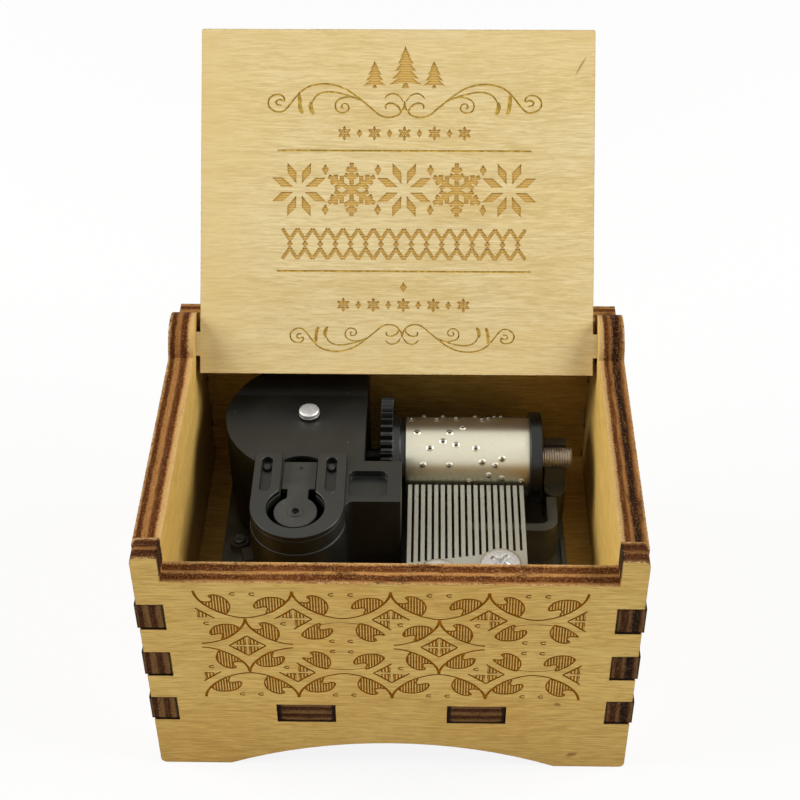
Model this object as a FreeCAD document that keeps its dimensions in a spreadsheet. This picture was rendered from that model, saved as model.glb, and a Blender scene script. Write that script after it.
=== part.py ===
# Small laser-cut wooden music box with a wind-up eighteen-note movement.
# Millimetres, +Z up. The origin lies on the table under the middle of the open box,
# so the front face of the case is at front_y, and the rest pose has the lid leaning back.
import FreeCAD
import Part
import Sketcher
import math
import os
from types import SimpleNamespace

# Driving dimensions. Places inside the case are measured from its front face
# and from the table. Angles are in degrees.
SIZES = {
    "ply": 3.5,
    "case_depth": 52.0,
    "side_outer": 31.6,
    "panel_half": 31.3,
    "kerf": 0.15,
    "side_top": 38.5,
    "front_top": 35.7,
    "ear_top": 39.8,
    "finger_low": 9.2,
    "finger_step": 8.9,
    "finger_tall": 4.6,
    "floor_low": 9.0,
    "slot_inner": 7.3,
    "slot_wide": 7.7,
    "arch_half": 21.8,
    "side_arch_half": 15.0,
    "arch_rise": 4.6,
    "corner_round": 0.8,
    "hinge_back": 44.0,
    "hinge_up": 37.45,
    "ear_round": 4.5,
    "hinge_hole": 2.5,
    "lid_half": 27.5,
    "lid_front": 44.1,
    "lid_rear": 4.1,
    "lid_tab": 3.4,
    "lid_open": 130.2,
    "plate_low": 12.55,
    "plate_high": 13.7,
    "plate_left": 24.6,
    "plate_right": 24.2,
    "plate_front": 9.5,
    "plate_back": 48.0,
    "plate_round": 2.0,
    "arbor_x": -12.1,
    "arbor_back": 36.3,
    "arbor_radius": 1.5,
    "running_gap": 0.05,
    "train_lean": 2.09,
    "module": 0.4,
    "addendum": 0.38,
    "dedendum": 0.5,
    "tooth_half": 0.2,
    "drive_teeth": 54,
    "drum_teeth": 40,
    "pinion_teeth": 10,
    "wheel_teeth": 20,
    "governor_teeth": 12,
    "drum_up": 23.3,
    "drum_radius": 5.6,
    "drum_left": 1.4,
    "drum_right": 18.9,
    "pin_tall": 0.42,
    "comb_left": 1.8,
    "comb_pitch": 0.915,
    "tooth_wide": 0.58,
    "comb_top": 23.6,
    "comb_tip": 30.17,
    "comb_front": 9.7,
    "cover_top": 31.0,
    "cover_low": 16.1,
    "cover_round": 11.65,
    "cover_right": -4.1,
    "cover_wall": 1.2,
    "lobe_x": -12.6,
    "lobe_back": 17.7,
    "lobe_round": 6.2,
    "wing_x": 1.0,
    "wing_front": 19.1,
    "wing_back": 27.0,
    "cap_tall": 0.8,
    "key_reach": 9.0,
}

PINS_PER_TURN = 72
# The notes: for each step of the drum, the comb teeth that are plucked.
NOTES = {
    1: (9, 17), 2: (14,), 3: (12,), 6: (2, 6, 13), 7: (11,), 8: (14,), 11: (3, 10), 12: (7,),
    13: (5,), 16: (1, 6), 18: (8,), 22: (0, 4, 11), 23: (7, 12), 26: (2, 5, 10, 13, 14),
    30: (8,), 32: (3, 15), 35: (9,), 38: (1, 12, 16), 41: (6,), 44: (4, 11), 47: (13,),
    50: (2, 8, 17), 53: (10,), 56: (5, 14), 59: (12,), 62: (0, 7, 15), 65: (9,), 68: (3, 11),
}
COMB_TEETH = 18

doc = FreeCAD.newDocument("music_box")
sheet = doc.addObject("Spreadsheet::Sheet", "sizes")
for row, (alias, value) in enumerate(SIZES.items(), 1):
    sheet.set(f"A{row}", alias)
    sheet.set(f"B{row}", str(value))
    sheet.setAlias(f"B{row}", alias)
doc.recompute()


class Size:
    """A dimension that carries its number and the sheet formula that it comes from."""

    def __init__(self, number, formula):
        self.number = number
        self.formula = formula

    def __add__(self, other):
        return Size(self.number + value_of(other), f"({self.formula} + {formula_of(other)})")

    def __radd__(self, other):
        return self + other

    def __sub__(self, other):
        return Size(self.number - value_of(other), f"({self.formula} - {formula_of(other)})")

    def __rsub__(self, other):
        return other + -self

    def __mul__(self, other):
        return Size(self.number * value_of(other), f"({self.formula} * {formula_of(other)})")

    def __rmul__(self, other):
        return self * other

    def __truediv__(self, other):
        return Size(self.number / value_of(other), f"({self.formula} / {formula_of(other)})")

    def __neg__(self):
        return Size(-self.number, f"(0 - {self.formula})")


def value_of(size):
    return size.number if isinstance(size, Size) else float(size)


def formula_of(size):
    return size.formula if isinstance(size, Size) else f"({float(size)})"


def root(size):
    return Size(math.sqrt(value_of(size)), f"sqrt({formula_of(size)})")


def cosine(degrees):
    return Size(math.cos(math.radians(value_of(degrees))), f"cos({formula_of(degrees)} * 1 deg)")


def sine(degrees):
    return Size(math.sin(math.radians(value_of(degrees))), f"sin({formula_of(degrees)} * 1 deg)")


s = SimpleNamespace(**{alias: Size(value, f"sizes.{alias}") for alias, value in SIZES.items()})

# The open lid reaches furthest back, so it sets where the middle of the whole object lies.
lid_reach = s.ply / 2 * sine(s.lid_open) - s.lid_front * cosine(s.lid_open)
front_y = -(s.hinge_back + lid_reach) / 2
side_inner = s.side_outer - s.ply
floor_top = s.floor_low + s.ply

# The wheels stand in one line that runs forward from the winding arbor.
arbor_y = front_y + s.arbor_back
drive_radius = s.module * s.drive_teeth / 2
drum_gear_radius = s.module * s.drum_teeth / 2
wheel_run = drive_radius + s.module * s.pinion_teeth / 2
governor_run = wheel_run + s.module * (s.wheel_teeth + s.governor_teeth) / 2
wheel_x = s.arbor_x - wheel_run * sine(s.train_lean)
wheel_y = arbor_y - wheel_run * cosine(s.train_lean)
governor_x = s.arbor_x - governor_run * sine(s.train_lean)
governor_y = arbor_y - governor_run * cosine(s.train_lean)


def bind(target, name, size):
    """Set a property to a size and keep it tied to the sheet."""
    target.setExpression(name, formula_of(size))


def new_body(label):
    body = doc.addObject("PartDesign::Body", label)
    body.Label = label
    return body


def origin_part(body, role):
    return next(item for item in body.Origin.OriginFeatures if item.Role == role)


def new_sketch(body, plane, offset, angle=0.0):
    """A sketch on one of the body's own planes, moved along that plane's normal.

    On the side plane it runs along Y and Z and the offset is X. On the front plane it runs
    along X and Z and the offset is given as Y. The angle turns it about the normal.
    """
    role = {"flat": "XY_Plane", "front": "XZ_Plane", "side": "YZ_Plane"}[plane]
    shift = -offset if plane == "front" else offset
    sketch = body.newObject("Sketcher::SketchObject", body.Label + "_sketch")
    sketch.AttachmentSupport = [(origin_part(body, role), "")]
    sketch.MapMode = "FlatFace"
    turned = FreeCAD.Rotation(FreeCAD.Vector(0, 0, 1), value_of(angle))
    sketch.AttachmentOffset = FreeCAD.Placement(FreeCAD.Vector(0, 0, value_of(shift)), turned)
    bind(sketch, "AttachmentOffset.Base.z", shift)
    return sketch


def hold(sketch, kind, *place, size):
    """Add one dimension to a sketch and tie it to the sheet."""
    index = sketch.addConstraint(Sketcher.Constraint(kind, *place, value_of(size)))
    if isinstance(size, Size):
        sketch.setExpression(f"Constraints[{index}]", size.formula)


def hold_point(sketch, item, end, x, y):
    hold(sketch, "DistanceX", -1, 1, item, end, size=x)
    hold(sketch, "DistanceY", -1, 1, item, end, size=y)


def draw(sketch, corners):
    """Draw a closed outline through its corners.

    A corner is (x, y). A corner (x, y, radius, turn) is reached by an arc that turns left
    for 1 and right for -1. The corners and the radii hold the outline fully.
    """
    first = sketch.GeometryCount
    count = len(corners)
    ends = []
    for index, corner in enumerate(corners):
        here = FreeCAD.Vector(value_of(corners[index - 1][0]), value_of(corners[index - 1][1]), 0)
        there = FreeCAD.Vector(value_of(corner[0]), value_of(corner[1]), 0)
        if len(corner) == 2:
            sketch.addGeometry(Part.LineSegment(here, there), False)
            ends.append((1, 2))
            continue
        radius, turn = value_of(corner[2]), corner[3]
        chord = there - here
        left = FreeCAD.Vector(-chord.y, chord.x, 0).normalize()
        rise = math.sqrt(max(radius ** 2 - chord.Length ** 2 / 4, 0))
        centre = here + chord * 0.5 + left * (rise * turn)
        begin, finish = (here, there) if turn > 0 else (there, here)
        angles = [math.atan2(point.y - centre.y, point.x - centre.x) for point in (begin, finish)]
        circle = Part.Circle(centre, FreeCAD.Vector(0, 0, 1), radius)
        sketch.addGeometry(Part.ArcOfCircle(circle, angles[0], angles[1]), False)
        ends.append((1, 2) if turn > 0 else (2, 1))
    for index, corner in enumerate(corners):
        item = first + index
        after = (index + 1) % count
        meet = Sketcher.Constraint("Coincident", item, ends[index][1], first + after, ends[after][0])
        sketch.addConstraint(meet)
        hold_point(sketch, item, ends[index][1], corner[0], corner[1])
        if len(corner) == 4:
            hold(sketch, "Radius", item, size=corner[2])


def draw_box(sketch, left, right, low, high):
    draw(sketch, [(right, low), (right, high), (left, high), (left, low)])


def draw_circle(sketch, x, y, radius):
    circle = Part.Circle(FreeCAD.Vector(value_of(x), value_of(y), 0), FreeCAD.Vector(0, 0, 1), value_of(radius))
    item = sketch.addGeometry(circle, False)
    hold_point(sketch, item, 3, x, y)
    hold(sketch, "Radius", item, size=radius)


def round_box(left, right, low, high, radius):
    """Corners of a rectangle with rounded corners."""
    return [
        (right - radius, low), (right, low + radius, radius, 1),
        (right, high - radius), (right - radius, high, radius, 1),
        (left + radius, high), (left, high - radius, radius, 1),
        (left, low + radius), (left + radius, low, radius, 1),
    ]


def add(body, sketch, length, backwards=False):
    """Pad a sketch along its normal."""
    feature = body.newObject("PartDesign::Pad", body.Label + "_pad")
    feature.Profile = sketch
    bind(feature, "Length", length)
    feature.Reversed = backwards
    doc.recompute()
    return feature


def remove(body, sketch, length, backwards=False):
    """Cut a sketch out of the body, against its normal, and make sure that something was cut."""
    before = body.Shape.Volume
    feature = body.newObject("PartDesign::Pocket", body.Label + "_pocket")
    feature.Profile = sketch
    bind(feature, "Length", length)
    feature.Reversed = backwards
    doc.recompute()
    if body.Shape.Volume > before - 1e-6:
        raise RuntimeError(f"a pocket in {body.Label} cut nothing")
    return feature


def turn(body, corners):
    """Revolve an outline about the body's own upright axis."""
    sketch = new_sketch(body, "front", Size(0.0, "0"))
    draw(sketch, corners)
    feature = body.newObject("PartDesign::Revolution", body.Label + "_turned")
    feature.Profile = sketch
    feature.ReferenceAxis = (sketch, ["V_Axis"])
    feature.Angle = 360
    doc.recompute()
    return feature


def spread(body, feature, count):
    """Repeat a feature around the body's own upright axis."""
    pattern = body.newObject("PartDesign::PolarPattern", body.Label + "_ring")
    pattern.Originals = [feature]
    pattern.Axis = (origin_part(body, "Z_Axis"), [""])
    pattern.Angle = 360
    pattern.Occurrences = int(value_of(count))
    if isinstance(count, Size):
        bind(pattern, "Occurrences", count)
    body.Tip = pattern
    doc.recompute()
    return pattern


def place(item, x=0.0, y=0.0, z=0.0, axis=(0, 0, 1), angle=0.0):
    """Move a finished piece to its place and turn it about an axis through its own origin."""
    turned = FreeCAD.Rotation(FreeCAD.Vector(*axis), value_of(angle))
    item.Placement = FreeCAD.Placement(FreeCAD.Vector(value_of(x), value_of(y), value_of(z)), turned)
    for name, size in (("x", x), ("y", y), ("z", z)):
        if isinstance(size, Size):
            bind(item, f"Placement.Base.{name}", size)


# The laser-cut case


def finger_lows():
    """Heights of the three finger joints at each corner of the case."""
    return [s.finger_low + s.finger_step * level for level in range(3)]


def mirrored(right_side):
    """The right side of an outline, bottom to top, and then its mirror image, top to bottom."""
    left_side = []
    arcs = [corner[2:] for corner in right_side[1:]] + [()]
    for corner, arc in zip(reversed(right_side), reversed(arcs)):
        left_side.append((-corner[0], corner[1]) + tuple(arc))
    return right_side + left_side


def arch(half):
    """The radius of the cut-out arch at the foot of a panel."""
    return (half * half + s.arch_rise * s.arch_rise) / (2 * s.arch_rise)


def end_panel(label, face_y, ears):
    """Front or back panel: notches for the sides, slots for the floor and an arch at the foot."""
    body = new_body(label)
    notch = side_inner - s.kerf
    soft = s.corner_round
    right = [(s.arch_half, 0.0), (s.panel_half - soft, 0.0), (s.panel_half, soft, soft, 1)]
    for low in finger_lows():
        right += [(s.panel_half, low), (notch, low), (notch, low + s.finger_tall)]
        right.append((s.panel_half, low + s.finger_tall))
    if ears:
        right += [(s.panel_half, s.ear_top - soft), (s.panel_half - soft, s.ear_top, soft, 1)]
        right += [(notch, s.ear_top), (notch, s.front_top)]
    else:
        right.append((s.panel_half, s.side_top))
    outline = mirrored(right)
    outline[0] = (s.arch_half, 0.0, arch(s.arch_half), -1)
    sketch = new_sketch(body, "front", face_y)
    draw(sketch, outline)
    add(body, sketch, s.ply, backwards=True)
    slots = new_sketch(body, "front", face_y)
    for side in (-1, 1):
        near, far = side * s.slot_inner, side * (s.slot_inner + s.slot_wide)
        draw_box(slots, min(near, far, key=value_of), max(near, far, key=value_of), s.floor_low, floor_top)
    remove(body, slots, s.ply)
    return body


def side_panel(label, side):
    """Side panel: three fingers into each end panel and a round hinge ear at the back."""
    body = new_body(label)
    near = front_y + s.ply
    far = front_y + s.case_depth - s.ply
    reach = s.ply - s.kerf
    hinge_y = front_y + s.hinge_back
    middle = (near + far) / 2
    ear_step = root(s.ear_round * s.ear_round - (s.side_top - s.hinge_up) * (s.side_top - s.hinge_up))
    outline = [(near, 0.0), (middle - s.side_arch_half, 0.0)]
    outline.append((middle + s.side_arch_half, 0.0, arch(s.side_arch_half), -1))
    outline.append((far, 0.0))
    for low in finger_lows():
        bottom, top = low + s.kerf, low + s.finger_tall - s.kerf
        outline += [(far, bottom), (far + reach, bottom), (far + reach, top), (far, top)]
    outline.append((far, s.hinge_up))
    outline.append((hinge_y, s.hinge_up + s.ear_round, s.ear_round, 1))
    outline.append((hinge_y - ear_step, s.side_top, s.ear_round, 1))
    outline.append((near, s.side_top))
    for low in reversed(finger_lows()):
        bottom, top = low + s.kerf, low + s.finger_tall - s.kerf
        outline += [(near, top), (near - reach, top), (near - reach, bottom), (near, bottom)]
    inner = side_inner if side > 0 else -s.side_outer
    sketch = new_sketch(body, "side", inner)
    draw(sketch, outline)
    draw_circle(sketch, hinge_y, s.hinge_up, s.hinge_hole)
    draw_box(sketch, middle - s.slot_wide / 2, middle + s.slot_wide / 2, s.floor_low, floor_top)
    add(body, sketch, s.ply)
    return body


MOUNTING_SCREWS = ((-21.5, 13.0), (20.5, 13.0), (20.5, 44.5))


def floor_panel():
    """Floor: tabs through all four walls, a hole for the winding arbor and for three screws."""
    body = new_body("floor_panel")
    slack = s.kerf
    edge = side_inner - 0.05
    near, far = front_y + s.ply + 0.05, front_y + s.case_depth - s.ply - 0.05
    reach = s.ply - 0.15
    inner, outer = s.slot_inner + slack, s.slot_inner + s.slot_wide - slack
    middle = front_y + s.case_depth / 2
    half = s.slot_wide / 2 - slack
    right = [
        (inner, near), (inner, near - reach), (outer, near - reach), (outer, near), (edge, near),
        (edge, middle - half), (edge + reach, middle - half), (edge + reach, middle + half),
        (edge, middle + half), (edge, far), (outer, far), (outer, far + reach),
        (inner, far + reach), (inner, far),
    ]
    sketch = new_sketch(body, "flat", s.floor_low)
    draw(sketch, mirrored(right))
    add(body, sketch, s.ply - 0.05)
    holes = new_sketch(body, "flat", s.floor_low)
    draw_circle(holes, s.arbor_x, arbor_y, 3.5)
    for x, back in MOUNTING_SCREWS:
        draw_circle(holes, x, front_y + back, 1.2)
    remove(body, holes, s.ply, backwards=True)
    return body


def lid():
    """Flat lid with a tab at each side, drawn shut about its hinge and turned to its rest."""
    body = new_body("lid")
    low, high = -s.lid_front, s.lid_rear
    tab_end = s.side_outer - 0.3
    tab = s.lid_tab / 2
    right = [(s.lid_half, low), (s.lid_half, -tab), (tab_end, -tab), (tab_end, tab)]
    right += [(s.lid_half, tab), (s.lid_half, high)]
    sketch = new_sketch(body, "flat", -s.ply / 2)
    draw(sketch, mirrored(right))
    add(body, sketch, s.ply)
    place(body, y=front_y + s.hinge_back, z=s.hinge_up, axis=(1, 0, 0), angle=-s.lid_open)
    return body


# The wind-up movement: the frame and what is fixed to it


COMB_SCREWS = ((14.3, 14.2), (6.0, 12.2))
FLANGE_SCREW = (-22.25, 27.5)
COMB_THICK = 1.3
DRUM_PIVOT = 1.5


def movement_frame():
    """Cast base: plate, comb seat, curved rim, bearing saddle and a screw boss on the left."""
    body = new_body("movement_frame")
    near, far = front_y + s.plate_front, front_y + s.plate_back
    base = new_sketch(body, "flat", s.plate_low)
    draw(base, round_box(-s.plate_left, s.plate_right, near, far, s.plate_round))
    add(body, base, s.plate_high - s.plate_low)

    seat = new_sketch(body, "flat", s.plate_high)
    draw_box(seat, s.comb_left + 0.2, s.comb_left + 16.0, front_y + 9.8, front_y + 16.3)
    add(body, seat, s.comb_top - COMB_THICK - s.plate_high)

    rim_half, rim_x, rim_y, bend = 0.7, 22.1, front_y + 25.6, 1.6
    rim = new_sketch(body, "flat", s.plate_high)
    draw(rim, [
        (10.0, rim_y - rim_half), (rim_x - bend, rim_y - rim_half),
        (rim_x + rim_half, rim_y + bend, bend + rim_half, 1), (rim_x + rim_half, rim_y + 6.0),
        (rim_x - rim_half, rim_y + 6.0), (rim_x - rim_half, rim_y + bend),
        (rim_x - bend, rim_y + rim_half, bend - rim_half, -1), (10.0, rim_y + rim_half),
    ])
    add(body, rim, 6.3)

    nose, post_x, ledge = 1.5, 22.8, 18.8
    post_wide = 2 * nose
    nose_y, post_back = front_y + 34.6, front_y + 39.0
    drum_y = front_y + s.arbor_back
    post = new_sketch(body, "flat", s.plate_high)
    draw(post, [
        (post_x + nose, post_back), (post_x - nose, post_back), (post_x - nose, nose_y),
        (post_x, nose_y - nose, nose, 1), (post_x + nose, nose_y, nose, 1),
    ])
    add(body, post, ledge - s.plate_high)
    saddle = new_sketch(body, "side", post_x - nose)
    saddle_top, lip_top = s.drum_up - 1.1, s.drum_up + 1.3
    draw(saddle, [
        (post_back, ledge), (post_back, lip_top), (drum_y + DRUM_PIVOT, lip_top),
        (drum_y + DRUM_PIVOT, saddle_top), (drum_y - 1.0, saddle_top), (drum_y - 1.0, ledge),
    ])
    add(body, saddle, post_wide)
    groove = new_sketch(body, "side", post_x - nose)
    draw_circle(groove, drum_y, s.drum_up, DRUM_PIVOT)
    remove(body, groove, post_wide, backwards=True)

    edge = new_sketch(body, "flat", s.plate_high)
    draw_box(edge, s.plate_right - 0.7, s.plate_right, near + 2.5, front_y + 29.0)
    add(body, edge, 1.0)

    boss = new_sketch(body, "flat", s.plate_high)
    boss_x, boss_y = FLANGE_SCREW[0], front_y + FLANGE_SCREW[1]
    draw_circle(boss, boss_x, boss_y, 1.35)
    draw_circle(boss, boss_x, boss_y, 0.6)
    add(body, boss, 1.3)
    tab = new_sketch(body, "flat", s.plate_high)
    draw(tab, [
        (-21.2, front_y + 23.6), (-19.4, front_y + 24.0), (-20.1, front_y + 26.6),
        (-21.9, front_y + 26.0),
    ])
    add(body, tab, 1.1)

    holes = new_sketch(body, "flat", s.plate_low)
    draw_circle(holes, s.arbor_x, arbor_y, s.arbor_radius + s.running_gap)
    for x, back in MOUNTING_SCREWS:
        draw_circle(holes, x, front_y + back, 0.95)
    remove(body, holes, s.plate_high - s.plate_low, backwards=True)
    threads = new_sketch(body, "flat", s.comb_top - COMB_THICK)
    for x, back in COMB_SCREWS:
        draw_circle(threads, x, front_y + back, 1.05)
    remove(body, threads, 5.0)
    return body


def cover_outline(inset):
    """Outline of the wheel cover seen from above, moved inwards by a wall thickness.

    A round end about the winding arbor runs into a narrower lobe about the governor.
    """
    turn_radius, lobe_radius = s.cover_round - inset, s.lobe_round - inset
    lobe_left, lobe_right = s.lobe_x - lobe_radius, s.lobe_x + lobe_radius
    lobe_y = front_y + s.lobe_back
    side = s.arbor_x - lobe_left
    shoulder = arbor_y - root(turn_radius * turn_radius - side * side)
    back = arbor_y + turn_radius
    right = s.cover_right - inset
    return [
        (s.arbor_x, back), (s.arbor_x - turn_radius, arbor_y, turn_radius, 1),
        (lobe_left, shoulder, turn_radius, 1), (lobe_left, lobe_y),
        (s.lobe_x, lobe_y - lobe_radius, lobe_radius, 1), (lobe_right, lobe_y, lobe_radius, 1),
    ], right, back


BEARING_SLOT = (-15.1, -10.3)
BEARING_EYE = (-12.77, 17.2, 3.86)


def gear_cover():
    """Moulded cover of the spring, the wheels and the governor, open at the right for the drum gear."""
    body = new_body("gear_cover")
    wing_near, wing_far = front_y + s.wing_front, front_y + s.wing_back
    fillet = 1.2
    corners, right, back = cover_outline(0.0)
    lobe_right, lobe_y = corners[-1][0], corners[-1][1]
    outside = new_sketch(body, "flat", s.plate_high)
    draw(outside, corners + [
        (lobe_right, wing_near - fillet), (lobe_right + fillet, wing_near, fillet, -1),
        (s.wing_x, wing_near), (s.wing_x, wing_far), (right, wing_far), (right, back),
    ])
    add(body, outside, s.cover_top - s.plate_high)

    corners, right, back = cover_outline(s.cover_wall)
    hollow = new_sketch(body, "flat", s.plate_high)
    draw(hollow, corners + [(corners[-1][0], wing_far - s.cover_wall),
                            (right, wing_far - s.cover_wall), (right, back)])
    remove(body, hollow, s.cover_top - s.cover_wall - s.plate_high, backwards=True)
    wing = new_sketch(body, "flat", s.plate_high)
    draw_box(wing, corners[-1][0] + s.cover_wall, s.wing_x - s.cover_wall,
             wing_near + s.cover_wall, wing_far - s.cover_wall)
    remove(body, wing, 14.6, backwards=True)

    skirt = new_sketch(body, "flat", s.plate_high)
    thick, inner = 0.15, s.lobe_round - 0.3
    outer = s.lobe_round + thick
    draw(skirt, [
        (s.lobe_x + inner, lobe_y), (s.lobe_x, lobe_y - inner, inner, -1),
        (s.lobe_x - inner, lobe_y, inner, -1), (s.lobe_x - outer, lobe_y),
        (s.lobe_x, lobe_y - outer, outer, 1), (s.lobe_x + outer, lobe_y, outer, 1),
    ])
    add(body, skirt, 15.0)

    sweep = new_sketch(body, "flat", s.plate_high)
    draw_circle(sweep, s.arbor_x, arbor_y, s.cover_round + 0.1)
    remove(body, sweep, s.cover_low - s.plate_high, backwards=True)

    recess = new_sketch(body, "flat", s.cover_top)
    draw(recess, round_box(-6.0, -0.85, front_y + 20.0, front_y + 25.0, 0.9))
    remove(body, recess, 1.1)
    top = new_sketch(body, "flat", s.cover_top)
    left, right = BEARING_SLOT
    eye_x, eye_back, eye = BEARING_EYE
    opening = 4.4
    arc_half = math.sqrt(opening ** 2 - 2.4 ** 2)
    draw(top, [
        (wheel_x + 2.4, wheel_y + arc_half), (wheel_x, wheel_y + opening, opening, 1),
        (wheel_x - 2.4, wheel_y + arc_half, opening, 1), (left, front_y + eye_back),
        (right, front_y + eye_back),
    ])
    remove(body, top, s.cover_wall + 0.2)
    round_hole = new_sketch(body, "flat", s.cover_top)
    draw_circle(round_hole, eye_x, front_y + eye_back, eye)
    draw_circle(round_hole, s.arbor_x, arbor_y, 1.1)
    remove(body, round_hole, s.cover_wall + 0.2)
    bearing = new_sketch(body, "side", s.cover_right + 0.5)
    draw_circle(bearing, front_y + s.arbor_back, s.drum_up, 0.9 + s.running_gap)
    remove(body, bearing, s.cover_wall + 1.0)
    return body


def governor_cover():
    """Raised frame shaped like a U that clamps the governor bearing, with a slot in each leg."""
    body = new_body("governor_cover")
    eye_x, eye_back, eye = BEARING_EYE
    left, right = BEARING_SLOT
    lobe_y = front_y + s.lobe_back
    eye_y = front_y + eye_back
    outer_left, outer_right = s.lobe_x - s.lobe_round, s.lobe_x + s.lobe_round
    leg_end = front_y + 27.8
    soft = 0.5
    left_join = eye_y + math.sqrt(eye ** 2 - (left - eye_x) ** 2)
    right_join = eye_y + math.sqrt(eye ** 2 - (right - eye_x) ** 2)
    sketch = new_sketch(body, "flat", s.cover_top)
    draw(sketch, [
        (outer_right, leg_end - soft), (outer_right - soft, leg_end, soft, 1),
        (right + soft, leg_end), (right, leg_end - soft, soft, 1), (right, right_join),
        (eye_x + eye, eye_y, eye, -1), (eye_x, eye_y - eye, eye, -1), (eye_x - eye, eye_y, eye, -1),
        (left, left_join, eye, -1), (left, leg_end - soft), (left - soft, leg_end, soft, 1),
        (outer_left + soft, leg_end), (outer_left, leg_end - soft, soft, 1), (outer_left, lobe_y),
        (s.lobe_x, lobe_y - s.lobe_round, s.lobe_round, 1), (outer_right, lobe_y, s.lobe_round, 1),
    ])
    for slot_left in (-17.8, -9.1):
        draw(sketch, round_box(slot_left, slot_left + 1.4, front_y + 20.2, front_y + 26.8, 0.65))
    add(body, sketch, s.cap_tall)
    return body


def cover_studs():
    """Two melted studs that hold the raised frame, one at the back of each slot."""
    body = new_body("cover_studs")
    sketch = new_sketch(body, "flat", s.cover_top)
    for x in (-17.1, -8.4):
        draw_circle(sketch, x, front_y + 25.3, 0.6)
    add(body, sketch, s.cap_tall - 0.3)
    return body


def governor_bearing():
    """Keyhole-shaped tongue whose round end carries the top pivot of the governor."""
    body = new_body("governor_bearing")
    neck_left, neck_right, disc = -14.1, -11.3, 2.85
    tongue_left, tongue_right = BEARING_SLOT[0] + 0.15, BEARING_SLOT[1] - 0.15
    neck_y, back_y = front_y + 21.4, front_y + 26.9
    left_join = governor_y + root(disc ** 2 - (neck_left - governor_x) * (neck_left - governor_x))
    right_join = governor_y + root(disc ** 2 - (neck_right - governor_x) * (neck_right - governor_x))
    tongue = new_sketch(body, "flat", s.cover_top - 0.8)
    draw(tongue, [
        (tongue_right, neck_y), (tongue_right, back_y), (tongue_left, back_y), (tongue_left, neck_y),
        (neck_left, neck_y), (neck_left, left_join), (governor_x - disc, governor_y, disc, 1),
        (governor_x, governor_y - disc, disc, 1), (governor_x + disc, governor_y, disc, 1),
        (neck_right, right_join, disc, 1), (neck_right, neck_y),
    ])
    add(body, tongue, 0.8)
    foot = new_sketch(body, "flat", s.cover_top - s.cover_wall - 0.8)
    draw_box(foot, tongue_left - 1.2, tongue_right + 1.2, neck_y + 1.2, back_y)
    add(body, foot, 0.8)
    web = new_sketch(body, "flat", s.cover_top - s.cover_wall)
    draw_box(web, tongue_left, tongue_right, neck_y + 1.2, back_y)
    add(body, web, s.cover_wall - 0.8)
    step = new_sketch(body, "flat", s.cover_top)
    draw_box(step, tongue_left - 0.1, tongue_right + 0.1, neck_y + 1.2, back_y + 0.1)
    remove(body, step, 0.25)
    boss = new_sketch(body, "flat", s.cover_top)
    draw_circle(boss, governor_x, governor_y, 0.95)
    add(body, boss, 0.15)
    pits = new_sketch(body, "flat", s.cover_top + 0.15)
    draw_circle(pits, governor_x, governor_y, 0.55)
    draw_circle(pits, wheel_x, wheel_y + 2.1, 0.35)
    remove(body, pits, 0.6)
    pivot = new_sketch(body, "flat", s.cover_top - 0.8)
    draw_circle(pivot, governor_x, governor_y, 0.3 + s.running_gap)
    remove(body, pivot, 0.35, backwards=True)
    return body


def comb():
    """Steel comb: one plate, thinned towards the tips and cut into eighteen teeth.

    The cuts are longer on the left, so the teeth are longer there.
    """
    body = new_body("comb")
    near, tip = front_y + s.comb_front, front_y + s.comb_tip
    slot_wide = s.comb_pitch - s.tooth_wide
    wide = s.comb_pitch * COMB_TEETH - slot_wide
    profile = new_sketch(body, "side", s.comb_left)
    draw(profile, [
        (near, s.comb_top - COMB_THICK), (near + 6.6, s.comb_top - COMB_THICK),
        (near + 9.6, s.comb_top - 0.6), (tip, s.comb_top - 0.5), (tip, s.comb_top), (near, s.comb_top),
    ])
    add(body, profile, wide)
    cuts = new_sketch(body, "flat", s.comb_top)
    for gap in range(COMB_TEETH - 1):
        left = s.comb_left + s.tooth_wide + s.comb_pitch * gap
        start = front_y + 15.2 + 0.15 * gap
        draw_box(cuts, left, left + slot_wide, start, tip + 0.5)
    remove(body, cuts, COMB_THICK)
    holes = new_sketch(body, "flat", s.comb_top)
    for x, back in COMB_SCREWS:
        draw_circle(holes, x, front_y + back, 1.15)
    remove(body, holes, COMB_THICK)
    return body


def comb_weights():
    """Lead weights under the long low-note teeth, smaller from tooth to tooth."""
    body = new_body("comb_weights")
    for tooth in range(6):
        left = s.comb_left + s.comb_pitch * tooth
        sketch = new_sketch(body, "side", left)
        low = s.comb_top - 2.6 + 0.25 * tooth
        near, far = front_y + 25.6, front_y + 29.0
        draw(sketch, [(near, low), (far, low), (far, s.comb_top - 0.505), (near, s.comb_top - 0.545)])
        add(body, sketch, s.tooth_wide)
    return body


def pan_screw(label, places, seat, head, shank, down=False):
    """Screws of one size, each its own solid, standing on a seat or hung under it.

    The head and the shank are each given as a radius and a length. The head is round and the
    hidden shank has six sides.
    """
    shank_radius, shank_long = shank
    corners = [FreeCAD.Vector(shank_radius * math.cos(math.radians(angle)),
                              shank_radius * math.sin(math.radians(angle)), -shank_long)
               for angle in range(0, 361, 60)]
    stem = Part.Face(Part.makePolygon(corners)).extrude(FreeCAD.Vector(0, 0, shank_long))
    screw = Part.makeCylinder(*head).fuse(stem)
    solids = []
    for x, y in places:
        solid = screw.copy()
        if down:
            solid.rotate(FreeCAD.Vector(0, 0, 0), FreeCAD.Vector(1, 0, 0), 180)
        solid.translate(FreeCAD.Vector(value_of(x), value_of(y), value_of(seat)))
        solids.append(solid)
    screws = doc.addObject("Part::Feature", label)
    screws.Label = label
    screws.Shape = Part.makeCompound(solids)
    return screws


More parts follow.
